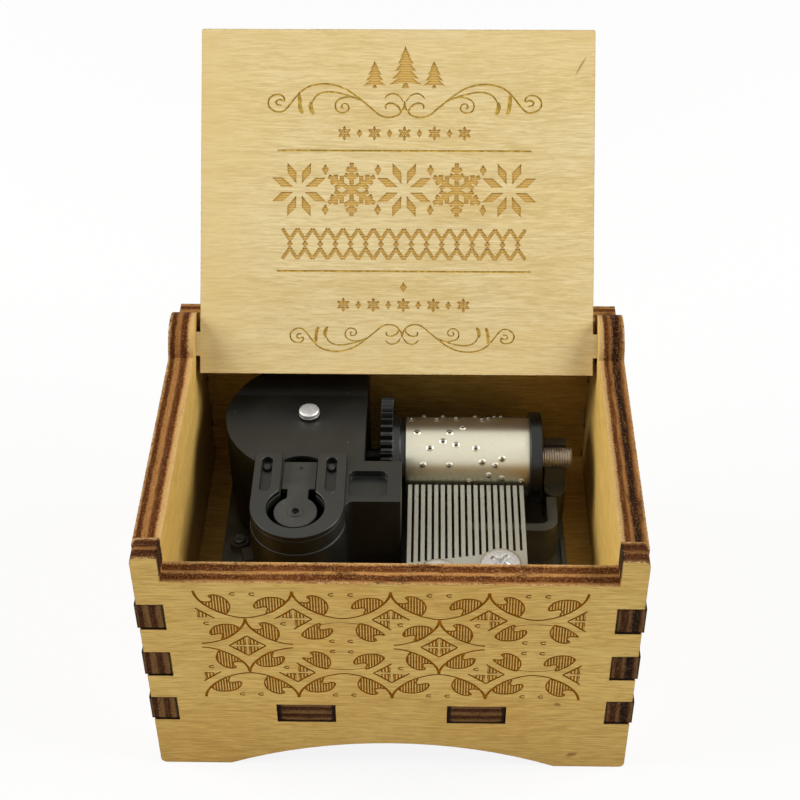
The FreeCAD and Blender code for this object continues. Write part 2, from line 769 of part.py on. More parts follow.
def pivot_screw():
    """Stepped pin in the saddle, with a plain nose on which the right end of the drum turns."""
    body = new_body("pivot_screw")
    nose, shoulder, length, radius = 0.8, 1.7, 6.2, DRUM_PIVOT - 0.02
    turn(body, [(0.0, 0.3), (nose, 0.3), (nose, shoulder), (radius, shoulder), (radius, length),
                (0.0, length)])
    place(body, x=s.drum_right, y=front_y + s.arbor_back, z=s.drum_up, axis=(0, 1, 0), angle=90)
    return body


def spring_barrel():
    """Cup that holds the spring, hung under the top of the gear cover."""
    body = new_body("spring_barrel")
    outer, inner, floor, low = 6.8, 6.1, 0.7, 17.6
    high = s.cover_top - s.cover_wall - 0.005
    turn(body, [(2.2, low), (outer, low), (outer, high), (inner, high), (inner, low + floor),
                (2.2, low + floor)])
    place(body, x=s.arbor_x, y=arbor_y)
    return body


def mainspring():
    """Flat spiral spring of two turns, drawn as half circles whose radius grows steadily."""
    strip, first, step, halves = 0.25, 2.5, 0.75, 4
    bottom, tall = 18.5, 10.6
    up = FreeCAD.Vector(0, 0, 1)

    def spiral(offset):
        edges = []
        end = FreeCAD.Vector(first + offset, 0, 0)
        for half in range(halves):
            side = 1 if half % 2 == 0 else -1
            radius = first + offset + step * (half + 0.5)
            centre = end - FreeCAD.Vector(side * radius, 0, 0)
            middle = centre + FreeCAD.Vector(0, side * radius, 0)
            far = centre - FreeCAD.Vector(side * radius, 0, 0)
            edges.append(Part.Arc(end, middle, far).toShape())
            end = far
        return edges, end

    inside, inside_end = spiral(0.0)
    outside, outside_end = spiral(strip)
    near = Part.LineSegment(FreeCAD.Vector(first, 0, 0), FreeCAD.Vector(first + strip, 0, 0)).toShape()
    far = Part.LineSegment(inside_end, outside_end).toShape()
    wire = Part.Wire(Part.__sortEdges__(inside + [far] + outside + [near]))
    solid = Part.Face(wire).extrude(up * tall)
    spring = doc.addObject("Part::Feature", "mainspring")
    spring.Label = "mainspring"
    spring.Shape = solid
    place(spring, x=s.arbor_x, y=arbor_y, z=bottom)
    return spring


def wheel_pin():
    """Fixed steel pin on which the middle wheel turns."""
    body = new_body("wheel_pin")
    turn(body, [(0.0, s.plate_high), (0.5, s.plate_high),
                (0.5, s.cover_top - s.cover_wall - 0.8), (0.0, s.cover_top - s.cover_wall - 0.8)])
    place(body, x=wheel_x, y=wheel_y)
    return body


# The parts that turn

TOOTH_FLANK = 20


def toothed_ring(body, teeth, low, tall, bore=None, first_angle=0.0):
    """Spur wheel about the body's own axis: slim straight-flanked teeth on a many-sided blank.

    The blank has one flat for the foot of each gap, and its corners are hidden in the teeth.
    """
    pitch_radius = s.module * teeth / 2
    root_radius = pitch_radius - s.dedendum
    tip_radius = pitch_radius + s.addendum
    blank = body.newObject("PartDesign::AdditivePrism", body.Label + "_blank")
    blank.Polygon = int(value_of(teeth))
    blank.AttachmentSupport = [(origin_part(body, "XY_Plane"), "")]
    blank.MapMode = "FlatFace"
    turned = FreeCAD.Rotation(FreeCAD.Vector(0, 0, 1), value_of(first_angle))
    blank.AttachmentOffset = FreeCAD.Placement(FreeCAD.Vector(0, 0, value_of(low)), turned)
    bind(blank, "AttachmentOffset.Base.z", low)
    bind(blank, "Circumradius", root_radius / cosine(Size(180.0, "180") / teeth))
    bind(blank, "Height", tall)
    doc.recompute()
    if bore is not None:
        hole = new_sketch(body, "flat", low + tall)
        draw_circle(hole, 0.0, 0.0, bore)
        remove(body, hole, tall)
    flank = math.tan(math.radians(TOOTH_FLANK))
    sunk = 0.15
    tooth = new_sketch(body, "flat", low, first_angle)
    wide = s.tooth_half + (s.dedendum + sunk) * flank
    narrow = s.tooth_half - s.addendum * flank
    inside = root_radius - sunk
    draw(tooth, [(inside, -wide), (tip_radius, -narrow), (tip_radius, narrow), (inside, wide)])
    return spread(body, add(body, tooth, tall), teeth)


def bored_hub(body, low, high, radius, bore):
    """A plain disc or hub with a round bore, added about the body's own axis."""
    hub = new_sketch(body, "flat", low)
    draw_circle(hub, 0.0, 0.0, radius)
    draw_circle(hub, 0.0, 0.0, bore)
    return add(body, hub, high - low)


DRIVE_LOW = 13.9
SPUR_TALL = 0.7
CROWN_TOP = 15.7


def drive_gear():
    """Spring-driven wheel: spur teeth round its rim and crown teeth on top for the drum gear."""
    body = new_body("drive_gear")
    bore = s.arbor_radius + s.running_gap
    toothed_ring(body, s.drive_teeth, DRIVE_LOW, SPUR_TALL, bore, -s.train_lean)
    bored_hub(body, DRIVE_LOW, DRIVE_LOW + 1.7, 1.5 + bore, bore)
    foot, tip = 0.36, 0.09
    foot_low = DRIVE_LOW + SPUR_TALL - 0.1
    tooth = new_sketch(body, "side", drive_radius - 1.2)
    draw(tooth, [(-foot, foot_low), (foot, foot_low), (tip, CROWN_TOP), (-tip, CROWN_TOP)])
    spread(body, add(body, tooth, 0.65), s.drive_teeth)
    place(body, x=s.arbor_x, y=arbor_y, angle=270)
    return body


def ratchet_click():
    """Spring pawl on the drive gear that lets the arbor be wound one way."""
    body = new_body("ratchet_click")
    stud_x, stud = 6.0, 0.8
    disc_top, low = DRIVE_LOW + SPUR_TALL, 15.8
    post = new_sketch(body, "flat", disc_top)
    draw_circle(post, stud_x, 0.0, stud)
    add(body, post, low - disc_top)
    arm = new_sketch(body, "flat", low)
    draw(arm, [
        (stud_x, -stud), (stud_x + stud, 0.0, stud, 1), (stud_x, stud, stud, 1), (2.7, 1.6), (2.6, 1.0),
    ])
    add(body, arm, 0.8)
    place(body, x=s.arbor_x, y=arbor_y)
    return body


def ratchet_wheel():
    """Saw-toothed wheel on the winding arbor."""
    body = new_body("ratchet_wheel")
    low, tall, inner, outer, teeth = 15.75, 0.9, 2.2, 2.6, 12
    bored_hub(body, low, low + tall, inner, s.arbor_radius)
    saw = new_sketch(body, "flat", low)
    draw(saw, [(inner - 0.2, -0.55), (outer, -0.5), (inner, 0.5), (inner - 0.2, 0.5)])
    spread(body, add(body, saw, tall), teeth)
    place(body, x=s.arbor_x, y=arbor_y)
    return body


def winding_arbor():
    """Upright shaft: key end under the floor, core inside the spring, thin journal in the cover."""
    body = new_body("winding_arbor")
    key_end, core_low, core_high, top = 3.2, 18.6, 29.3, s.cover_top + 0.05
    turn(body, [
        (0.0, key_end), (1.2, key_end), (1.2, 8.7), (s.arbor_radius, 8.7), (s.arbor_radius, core_low),
        (2.1, core_low), (2.1, core_high), (1.05, core_high), (1.05, top), (0.0, top),
    ])
    place(body, x=s.arbor_x, y=arbor_y)
    return body


def arbor_cap():
    """Bright rivet head that closes the arbor above the gear cover."""
    body = new_body("arbor_cap")
    low, radius, tall, crown = s.cover_top + 0.05, 1.5, 0.75, 0.35
    turn(body, [(0.0, low), (radius, low), (radius, low + tall), (radius - crown, low + tall + crown),
                (0.0, low + tall + crown)])
    place(body, x=s.arbor_x, y=arbor_y)
    return body


def winding_key():
    """Low butterfly key under the floor: two pierced wings on a round hub."""
    body = new_body("winding_key")
    low, high, thick, round_end = 1.7, 6.9, 1.5, 2.4
    hub = new_sketch(body, "flat", low)
    draw_circle(hub, 0.0, 0.0, 2.4)
    add(body, hub, 8.5 - low)
    wings = new_sketch(body, "front", -thick / 2)
    draw(wings, round_box(-s.key_reach, s.key_reach, low, high, round_end))
    for side in (-1, 1):
        draw_circle(wings, side * (s.key_reach - 3.0), (low + high) / 2, 1.2)
    add(body, wings, thick, backwards=True)
    bore = new_sketch(body, "flat", 8.5)
    draw_circle(bore, 0.0, 0.0, 1.2)
    remove(body, bore, 5.3)
    place(body, x=s.arbor_x, y=arbor_y)
    return body


def middle_wheel():
    """Middle wheel: small pinion driven by the drive gear, larger wheel above it."""
    body = new_body("middle_wheel")
    bore = 0.5 + s.running_gap
    half_pitch = 180 / value_of(s.pinion_teeth)
    toothed_ring(body, s.pinion_teeth, 13.85, SPUR_TALL - 0.05, bore, half_pitch)
    bored_hub(body, 14.4, 16.3, 1.2, bore)
    toothed_ring(body, s.wheel_teeth, 16.2, 0.9, bore)
    place(body, x=wheel_x, y=wheel_y, angle=270 - s.train_lean)
    return body


def governor_spindle():
    """Upright spindle of the governor with its pinion and the pivot at its top."""
    body = new_body("governor_spindle")
    radius, pivot = 0.6, 0.3
    top = s.cover_top - 0.8
    turn(body, [
        (0.0, s.plate_high + 0.02), (radius, s.plate_high + 0.02), (radius, top - 0.4),
        (pivot, top - 0.4), (pivot, top + 0.3), (0.0, top + 0.3),
    ])
    half_pitch = 180 / value_of(s.governor_teeth)
    toothed_ring(body, s.governor_teeth, 16.1, 1.1, first_angle=half_pitch)
    place(body, x=governor_x, y=governor_y, angle=270 - s.train_lean)
    return body


def governor_rotor():
    """Air brake of the governor: two upright vanes on a hub."""
    body = new_body("governor_rotor")
    low, high, hub, reach, thick = 19.0, 27.5, 1.2, 3.9, 0.6
    bored_hub(body, low, high, hub, 0.62)
    vane = new_sketch(body, "front", -thick / 2)
    draw_box(vane, hub - 0.2, reach, low, high)
    spread(body, add(body, vane, thick, backwards=True), 2)
    place(body, x=governor_x, y=governor_y)
    return body


def on_drum(item, x):
    """Lay a piece that was drawn about an upright axis along the drum's axis."""
    place(item, x=x, y=front_y + s.arbor_back, z=s.drum_up, axis=(0, 1, 0), angle=90)


def drum_gear():
    """Black gear wheel on the left of the drum, with a plain shoulder against the drum."""
    body = new_body("drum_gear")
    bore, tooth_wide = 1.0, 1.7
    left = s.drum_left - 3.45
    toothed_ring(body, s.drum_teeth, 0.0, tooth_wide, bore)
    bored_hub(body, tooth_wide, tooth_wide + 1.0, 6.1, bore)
    bored_hub(body, tooth_wide + 1.0, s.drum_left - left, 5.3, bore)
    on_drum(body, left)
    return body


def drum_flange():
    """Black end disc on the right of the drum, bored for the nose of the pivot screw."""
    body = new_body("drum_flange")
    bored_hub(body, 0.0, 1.6, 6.5, 0.8 + s.running_gap)
    on_drum(body, s.drum_right)
    return body


def drum_arbor():
    """Shaft through the drum with a thinner journal in the wall of the gear cover."""
    body = new_body("drum_arbor")
    start = s.cover_right - 1.0
    end = s.drum_right - start
    turn(body, [(0.0, 0.0), (0.9, 0.0), (0.9, 1.1), (1.0, 1.1), (1.0, end), (0.0, end)])
    on_drum(body, start)
    return body


def drum_shell():
    """Pinned drum: a plated tube and one small four-sided pin for each note."""
    tube = new_body("drum_tube")
    wall = 0.6
    length = s.drum_right - s.drum_left
    turn(tube, [
        (s.drum_radius, 0.0), (s.drum_radius, length), (s.drum_radius - wall, length),
        (s.drum_radius - wall, 0.0),
    ])
    on_drum(tube, s.drum_left)
    drum_y = front_y + s.arbor_back
    sunk, pin_radius = 0.2, 0.24
    pieces = [tube]
    for step, teeth in NOTES.items():
        angle = math.radians(360 / PINS_PER_TURN * step)
        outward = FreeCAD.Vector(0, -math.cos(angle), math.sin(angle))
        for tooth in teeth:
            pin = doc.addObject("Part::Prism", f"pin_{step}_{tooth}")
            pin.Polygon = 4
            pin.Circumradius = pin_radius
            bind(pin, "Height", s.pin_tall + sunk)
            x = s.comb_left + s.comb_pitch * tooth + s.tooth_wide / 2
            base = FreeCAD.Vector(value_of(x), value_of(drum_y), value_of(s.drum_up))
            base += outward * (value_of(s.drum_radius) - sunk)
            squared = FreeCAD.Rotation(FreeCAD.Vector(0, 0, 1), 45)
            upright = FreeCAD.Rotation(FreeCAD.Vector(0, 0, 1), outward)
            pin.Placement = FreeCAD.Placement(base, upright * squared)
            pieces.append(pin)
    drum = doc.addObject("Part::MultiFuse", "drum_shell")
    drum.Label = "drum_shell"
    drum.Shapes = pieces
    doc.recompute()
    return drum


def screw_places(places):
    return [(x, front_y + back) for x, back in places]


def build():
    """Make every sub-part of the box and of its movement."""
    end_panel("front_panel", front_y, True)
    end_panel("back_panel", front_y + s.case_depth - s.ply, False)
    side_panel("left_panel", -1)
    side_panel("right_panel", 1)
    floor_panel()
    lid()
    movement_frame()
    gear_cover()
    governor_cover()
    cover_studs()
    governor_bearing()
    comb()
    comb_weights()
    pan_screw("comb_screws", screw_places(COMB_SCREWS), s.comb_top, (2.75, 1.3), (1.0, 5.5))
    pan_screw("mounting_screws", screw_places(MOUNTING_SCREWS), s.floor_low, (2.0, 1.2), (0.9, 4.5), True)
    pan_screw("flange_screw", screw_places([FLANGE_SCREW]), s.plate_high + 1.3, (0.95, 0.45), (0.55, 1.1))
    pivot_screw()
    spring_barrel()
    mainspring()
    wheel_pin()
    drive_gear()
    ratchet_click()
    ratchet_wheel()
    winding_arbor()
    arbor_cap()
    winding_key()
    middle_wheel()
    governor_spindle()
    governor_rotor()
    drum_gear()
    drum_flange()
    drum_arbor()
    drum_shell()


def check(nodes):
    """Stop if anything failed to build."""
    for item in doc.Objects:
        if "Invalid" in item.State or "Error" in item.State:
            raise RuntimeError(f"{item.Label} is {item.State}")
    for node in nodes:
        if node.Shape.isNull() or not node.Shape.isValid():
            raise RuntimeError(f"{node.Label} has no good shape")


def sub_parts():
    """The finished pieces: bodies, free shapes and fusions that no other piece is made from."""
    kinds = ("PartDesign::Body", "Part::Feature", "Part::MultiFuse")
    return [item for item in doc.Objects if item.TypeId in kinds and item.Label != "drum_tube"]


build()
doc.recompute()
nodes = sub_parts()
check(nodes)
os.makedirs("parts", exist_ok=True)
for node in nodes:
    node.Shape.exportStep(f"parts/{node.Label}.step")
    box = node.Shape.BoundBox
    print(f"{node.Label:18s} solids {len(node.Shape.Solids)}  volume {node.Shape.Volume:8.1f}  "
          f"x {box.XMin:6.2f} {box.XMax:6.2f}  y {box.YMin:6.2f} {box.YMax:6.2f}  "
          f"z {box.ZMin:6.2f} {box.ZMax:6.2f}")
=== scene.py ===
"""Looks of a small laser-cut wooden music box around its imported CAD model.

Points are worked out in millimetres and go into the meshes in metres.
"""
import math

import bmesh
import bpy
import numpy as np
from bpy.props import FloatProperty, FloatVectorProperty, PointerProperty
from mathutils import Matrix, Vector
from mathutils.geometry import delaunay_2d_cdt


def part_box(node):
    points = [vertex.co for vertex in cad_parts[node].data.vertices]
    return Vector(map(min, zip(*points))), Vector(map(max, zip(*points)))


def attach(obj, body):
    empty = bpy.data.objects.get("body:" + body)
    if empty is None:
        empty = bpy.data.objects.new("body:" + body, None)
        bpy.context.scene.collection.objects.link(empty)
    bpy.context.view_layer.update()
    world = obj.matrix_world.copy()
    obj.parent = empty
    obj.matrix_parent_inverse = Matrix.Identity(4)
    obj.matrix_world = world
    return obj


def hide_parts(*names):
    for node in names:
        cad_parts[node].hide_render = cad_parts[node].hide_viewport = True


bl_info = {
    "name": "Wooden Music Box",
    "version": (1, 0, 0),
    "blender": (4, 5, 0),
    "location": "3D View > Sidebar > Music Box",
    "description": "Builds the boards, the engraving and the wind-up movement of a small music box",
    "category": "Object",
}

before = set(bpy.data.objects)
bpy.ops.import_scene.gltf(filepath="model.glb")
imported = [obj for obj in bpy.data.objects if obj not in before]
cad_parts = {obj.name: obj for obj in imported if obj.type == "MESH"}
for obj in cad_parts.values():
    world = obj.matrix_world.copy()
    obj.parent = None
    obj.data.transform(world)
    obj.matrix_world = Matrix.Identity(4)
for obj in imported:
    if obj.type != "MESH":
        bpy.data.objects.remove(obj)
MM = 0.001


def box(node):
    """Lowest and highest corner of a CAD node, in millimetres."""
    return np.array(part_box(node)) / MM


FRONT = float(box("front_panel")[0, 1])
DRUM_AT = box("drum_flange").mean(0)[1:]
ARBOR_AT = box("arbor_cap").mean(0)[:2]

# The case, in millimetres: across from its middle, back from the front board's face, up from the table.
DEPTH, MIDDLE, SIDE_FACE, WALL_TOP, ARCH_RISE = 52.0, 26.0, 31.6, 38.5, 4.6
END_HALF, NOTCH, FINGERS, FINGER_TALL = 31.3, 27.95, (9.2, 18.1, 27.0), 4.6
FLOOR_LOW, FLOOR_HIGH, END_SLOT, SIDE_SLOT_HALF, KERF = 9.0, 12.5, (7.3, 15.0), 3.85, 0.15
FLOOR_THINNER, LID_TAB = 0.05, 1.7
FLOOR_SCREWS = ((-21.5, 13.0), (20.5, 13.0), (20.5, 44.5))
HINGE_BACK, HINGE_UP, LID_TURN = 44.0, 37.45, -130.2
DRUM_RADIUS, DRUM_BORE = 5.6, 5.0


# What a user would change


def tone(name, about, colour):
    return FloatVectorProperty(name=name, description=about, subtype="COLOR", size=3, min=0.0, max=1.0,
                               default=colour)


def length(name, about, value):
    return FloatProperty(name=name, description=about, unit="LENGTH", default=value * MM, min=0.0,
                         precision=5)


def power(name, about, value):
    return FloatProperty(name=name, description=about, unit="POWER", default=value, min=0.0, max=20.0)


class MusicBoxSizes(bpy.types.PropertyGroup):
    """Sizes of what is cut into the boards and set on the drum."""
    ply: length("Plywood", "Thickness of the boards", 3.5)
    lattice_depth: length("Lattice depth", "Depth of the engraved lattice on the front", 0.09)
    lid_depth: length("Lid depth", "Depth of the engraving on the lid's inner face", 0.12)
    scorch: length("Scorch", "Width of the scorched line beside every laser cut", 0.2)
    cusp_line: length("Line at cusps", "Width of a lattice line at its cusps", 0.36)
    valley_line: length("Line in valleys", "Width of a lattice line at its lowest point", 0.2)
    leaf_line: length("Leaf line", "Width of a leaf's outline and of its hatch lines", 0.205)
    hatch_pitch: length("Hatch pitch", "Distance between the hatch lines of a leaf", 0.36)
    pin_radius: length("Pin radius", "Radius of a drum pin", 0.28)
    moulded_edge: length("Moulded edge", "Rounding of the moulded and cast edges", 0.12)


class MusicBoxColours(bpy.types.PropertyGroup):
    """Plain colours that the patterns of each material start from."""
    veneer: tone("Case veneer", "Face of the boards of the case", (0.645, 0.434, 0.118))
    veneer_lid: tone("Lid veneer", "Paler face of the lid", (0.725, 0.590, 0.305))
    ply_light: tone("Ply edge, pale layer", "Long-grain layers on a cut edge", (0.540, 0.265, 0.080))
    ply_dark: tone("Ply edge, dark layer", "Cross-grain layers on a cut edge", (0.125, 0.030, 0.004))
    burnt: tone("Burnt line", "Engraved lines of the case", (0.290, 0.102, 0.002))
    engraved: tone("Engraved area", "Shallow engraved areas of the lid", (0.640, 0.410, 0.100))
    black: tone("Black plastic", "Moulded cover of the movement", (0.0050, 0.0055, 0.0038))
    grey: tone("Dark plastic", "Governor bearing and small wheels", (0.022, 0.022, 0.019))
    cast: tone("Painted casting", "Base of the movement", (0.070, 0.073, 0.062))
    steel: tone("Comb steel", "Ground steel of the comb", (0.460, 0.450, 0.385))
    nickel: tone("Drum plating", "Satin plating of the drum", (0.690, 0.655, 0.500))
    screw: tone("Screw plating", "Bright plating of the screws", (0.620, 0.620, 0.610))


class MusicBoxStage(bpy.types.PropertyGroup):
    """The photograph's camera and the lamps."""
    focal: FloatProperty(name="Focal length", description="Camera lens on a sensor 36 mm wide",
                         unit="CAMERA", default=72.9156, min=10.0, max=300.0)
    world: FloatProperty(name="Room light", description="Strength of the light from all round",
                         default=0.12, min=0.0, max=2.0)
    key: power("Key lamp", "Power of the large lamp at the upper left", 2.5)
    fill: power("Fill lamp", "Power of the lamp at the upper right", 2.2)
    front: power("Front lamp", "Power of the low lamp in front", 0.56)


def size_of(name):
    """A size from the panel, in millimetres."""
    return getattr(bpy.context.scene.music_box_sizes, name) / MM


def colour_of(name):
    """A colour from the panel."""
    return tuple(getattr(bpy.context.scene.music_box_colours, name))


# Shader maths


class Wire:
    """A socket's value, on which sums can be written: 1 - mask * 0.4 adds its Math nodes."""

    def __init__(self, shader, socket):
        self.shader = shader
        self.socket = socket

    def math(self, operation, *values):
        return self.shader.node("Math", {"operation": operation}, dict(enumerate(values)))

    def __add__(self, other):
        return self.math("ADD", self, other)

    def __radd__(self, other):
        return self.math("ADD", other, self)

    def __sub__(self, other):
        return self.math("SUBTRACT", self, other)

    def __rsub__(self, other):
        return self.math("SUBTRACT", other, self)

    def __mul__(self, other):
        return self.math("MULTIPLY", self, other)

    def __rmul__(self, other):
        return self.math("MULTIPLY", other, self)

    def __abs__(self):
        return self.math("ABSOLUTE", self)

    def above(self, start, end):
        """0 below start, 1 above end and a soft step between."""
        return self.shader.node("MapRange", {"interpolation_type": "SMOOTHSTEP"},
                                {"Value": self, "From Min": start, "From Max": end})


class Shader:
    """A material that is built node by node."""

    def __init__(self, name, owner=None):
        self.material = owner or bpy.data.materials.new(name)
        self.material.use_nodes = True
        self.tree = self.material.node_tree
        self.tree.nodes.clear()

    def node(self, kind, settings=None, values=None, out=0):
        """A node of a kind, with its settings, its sockets' values or links, and the output that is used."""
        made = self.tree.nodes.new("ShaderNode" + kind)
        for key, value in (settings or {}).items():
            if key == "stops":
                ramp = made.color_ramp.elements
                while len(ramp) < len(value):
                    ramp.new(1.0)
                for element, (position, colour) in zip(ramp, value):
                    element.position = position
                    element.color = (*colour, 1.0)
            else:
                setattr(made, key, value)
        for key, value in (values or {}).items():
            socket = made.inputs[key] if isinstance(key, int) else next(
                found for found in made.inputs if key in (found.identifier, found.name) and found.enabled)
            if isinstance(value, Wire):
                self.tree.links.new(value.socket, socket)
            elif hasattr(value, "__len__") and len(value) == 3 and socket.type == "RGBA":
                socket.default_value = (*value, 1.0)
            else:
                socket.default_value = value
        return Wire(self, made.outputs[out]) if len(made.outputs) else None

    def mix(self, factor, first, second, mode="MIX"):
        return self.node("Mix", {"data_type": "RGBA", "blend_type": mode},
                         {"Factor": factor, "A": first, "B": second}, out=2)

    def vector(self, operation, *values, out=0):
        return self.node("VectorMath", {"operation": operation}, dict(enumerate(values)), out=out)

    def part(self, vector, axis):
        return self.node("SeparateXYZ", {}, {0: vector}, out=axis)

    def seen_from(self, vector, centre, turn, unit):
        """A vector in the axes of a place with this centre and turn, counted in this unit."""
        return self.node("Mapping", {"vector_type": "TEXTURE"},
                         {"Vector": vector, "Location": centre, "Rotation": turn, "Scale": unit})

    def space(self, centre=(0, 0, 0), turn=(0, 0, 0)):
        """Object coordinates in millimetres, seen from a piece's own axes."""
        return self.seen_from(self.node("TexCoord", out="Object"), centre, turn, (MM, MM, MM))

    def noise(self, vector, scale=(1, 1, 1), size=1.0, detail=3.0, rough=0.55, out=0):
        """Noise with its features about size apart, stretched by a scale for each axis."""
        return self.node("TexNoise", {}, {"Vector": self.vector("MULTIPLY", vector, scale),
                                          "Scale": 1.0 / size, "Detail": detail, "Roughness": rough}, out=out)

    def bump(self, height, strength, depth):
        """Bump by a height, whose full range stands for a depth in millimetres."""
        return self.node("Bump", {}, {"Strength": strength, "Distance": depth * MM, "Height": height})

    def surface(self, **values):
        """The Principled shader, with underscores for spaces in its sockets' names."""
        sockets = {key.replace("_", " "): value for key, value in values.items()}
        self.node("OutputMaterial", {}, {"Surface": self.node("BsdfPrincipled", {}, sockets)})
        return self.material


# Meshes


def around(count):
    """Angles of a full turn in equal steps."""
    return np.linspace(0, 2 * np.pi, count, endpoint=False)


def grid_faces(rows, columns):
    """Quads between neighbours on a grid of points, stored row by row and closed along each row."""
    row, column = (part.ravel() for part in np.mgrid[:rows - 1, :columns])
    here, after = row * columns + column, row * columns + (column + 1) % columns
    return np.stack([here, after, after + columns, here + columns], 1)


def turned(profile, segments):
    """A profile (radius, height) carried round the Z axis: x = r cos a, y = r sin a, z = h.

    A profile that changes on its way round has one (radius, height) for each row and angle.
    """
    profile = np.asarray(profile, float)
    if profile.ndim == 2:
        profile = profile[:, None]
    angle, radius = around(segments), profile[..., 0]
    points = np.stack([radius * np.cos(angle), radius * np.sin(angle), profile[..., 1] + 0 * angle], -1)
    return points.reshape(-1, 3), grid_faces(len(profile), segments)


def fillet(corners, radius, steps=4):
    """Round the corners of a profile: each becomes a short quadratic curve between its two sides."""
    corners = np.asarray(corners, float)
    before, here, after = corners[:-2], corners[1:-1], corners[2:]
    back, on = before - here, after - here
    back_long, on_long = (np.linalg.norm(side, axis=1, keepdims=True) for side in (back, on))
    cut = np.minimum(radius, np.minimum(back_long, on_long) * 0.45)
    first, last = here + back / back_long * cut, here + on / on_long * cut
    t = np.linspace(0, 1, steps)[None, :, None]
    bend = (1 - t) ** 2 * first[:, None] + 2 * t * (1 - t) * here[:, None] + t ** 2 * last[:, None]
    return np.concatenate([corners[:1], bend.reshape(-1, 2), corners[-1:]])


def clean(mesh, flat_angle=None):
    """Merge doubles, drop what has no area, turn the faces outwards and shade by angle."""
    work = bmesh.new()
    work.from_mesh(mesh)
    bmesh.ops.remove_doubles(work, verts=work.verts, dist=1e-7)
    bmesh.ops.dissolve_degenerate(work, edges=work.edges, dist=1e-7)
    bmesh.ops.recalc_face_normals(work, faces=work.faces)
    work.to_mesh(mesh)
    work.free()
    if flat_angle is not None:
        mesh.shade_smooth()
        mesh.set_sharp_from_angle(angle=math.radians(flat_angle))


def make_piece(name, points, faces, materials, body, slot, nodes, flat_angle=None, kinds=None, marks=None):
    """One object from points in millimetres, riding on its body and standing for its CAD nodes."""
    mesh = bpy.data.meshes.new(name)
    faces = [face for part in (faces if isinstance(faces, list) else [faces]) for face in part.tolist()]
    mesh.from_pydata((np.asarray(points) * MM).tolist(), [], faces)
    for material in materials:
        mesh.materials.append(material)
    if kinds is not None:
        mesh.polygons.foreach_set("material_index", np.asarray(kinds, np.int32))
    if marks is not None:
        scorch = mesh.attributes.new("scorch", "FLOAT", "POINT")
        scorch.data.foreach_set("value", np.asarray(marks, np.float32))
    clean(mesh, flat_angle)
    piece = bpy.data.objects.new(name, mesh)
    bpy.context.scene.collection.objects.link(piece)
    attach(piece, body)
    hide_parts(*nodes)


def dress(node, material, edge=0.0, segments=2):
    """Give a CAD node its material, and round its edges by live modifiers."""
    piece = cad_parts[node]
    piece.data.materials.clear()
    piece.data.materials.append(material)
    if edge:
        for label, kind, settings in (
                ("Weld", "WELD", {"merge_threshold": 1e-6}),
                ("Flats", "DECIMATE", {"decimate_type": "DISSOLVE", "angle_limit": math.radians(1.0)}),
                ("Edges", "BEVEL", {"width": edge * MM, "segments": segments, "limit_method": "ANGLE",
                                    "angle_limit": math.radians(32)}),
                ("Even", "WEIGHTED_NORMAL", {"keep_sharp": True})):
            modifier = piece.modifiers.new(label, kind)
            for key, value in settings.items():
                setattr(modifier, key, value)
    piece.data.shade_smooth()
    piece.data.set_sharp_from_angle(angle=math.radians(30))


# Outlines on a board, in millimetres


def trace(corners, step=3.0):
    """Points round an outline.

    A corner (x, y) is reached straight. A corner (x, y, radius, turn) is reached by an arc
    that turns left for 1 and right for -1, cut into steps of a few degrees.
    """
    points, previous = [], corners[-1]
    for corner in corners:
        here, there = np.array(previous[:2], float), np.array(corner[:2], float)
        if len(corner) == 2:
            points.append(there[None])
        else:
            radius, turn = corner[2:]
            chord = there - here
            half = np.hypot(*chord) / 2
            left = np.array([-chord[1], chord[0]]) / (2 * half)
            centre = (here + there) / 2 + left * turn * math.sqrt(max(radius ** 2 - half ** 2, 0.0))
            sweep = 2 * math.asin(min(half / radius, 1.0)) * turn
            count = max(2, math.ceil(abs(math.degrees(sweep)) / step))
            start = math.atan2(*(here - centre)[::-1])
            angle = start + sweep * np.arange(1, count + 1) / count
            points.append(centre + radius * np.stack([np.cos(angle), np.sin(angle)], 1))
        previous = corner
    return np.concatenate(points)


def mirrored(right_side):
    """The right side of an outline, bottom to top, and then its mirror image, top to bottom."""
    arcs = [corner[2:] for corner in right_side[1:]] + [()]
    left_side = [(-corner[0], corner[1], *arc) for corner, arc in zip(reversed(right_side), reversed(arcs))]
    return right_side + left_side


def ring(x, y, radius, count=40):
    angle = around(count)
    return np.stack([x + radius * np.cos(angle), y + radius * np.sin(angle)], 1)


def rectangle(left, right, low, high):
    return np.array([(left, low), (right, low), (right, high), (left, high)], float)


def side_normals(points, closed):
    """Unit normals at the points of a line, from the mean direction of the two runs that meet there."""
    if closed:
        way = np.roll(points, -1, 0) - np.roll(points, 1, 0)
    else:
        way = np.gradient(points, axis=0)
    way /= np.maximum(np.linalg.norm(way, axis=1, keepdims=True), 1e-9)
    return np.stack([-way[:, 1], way[:, 0]], 1)


def leftwards(loops):
    """Outlines, each with its points in the order that keeps the inside on the left."""
    ahead = np.roll(loops, -1, -2)
    area = np.sum(loops[..., 0] * ahead[..., 1] - ahead[..., 0] * loops[..., 1], -1)
    return np.where((area < 0)[..., None, None], loops[..., ::-1, :], loops)


def inset(points, width):
    """An outline moved inwards by a width, with each corner on both moved sides."""
    before = points - np.roll(points, 1, 0)
    after = np.roll(points, -1, 0) - points
    normals = [np.stack([-way[:, 1], way[:, 0]], 1) / np.linalg.norm(way, axis=1, keepdims=True)
               for way in (before, after)]
    middle = normals[0] + normals[1]
    scale = 2.0 / np.maximum(np.sum(middle * middle, 1, keepdims=True), 0.5)
    return points + middle * scale * width


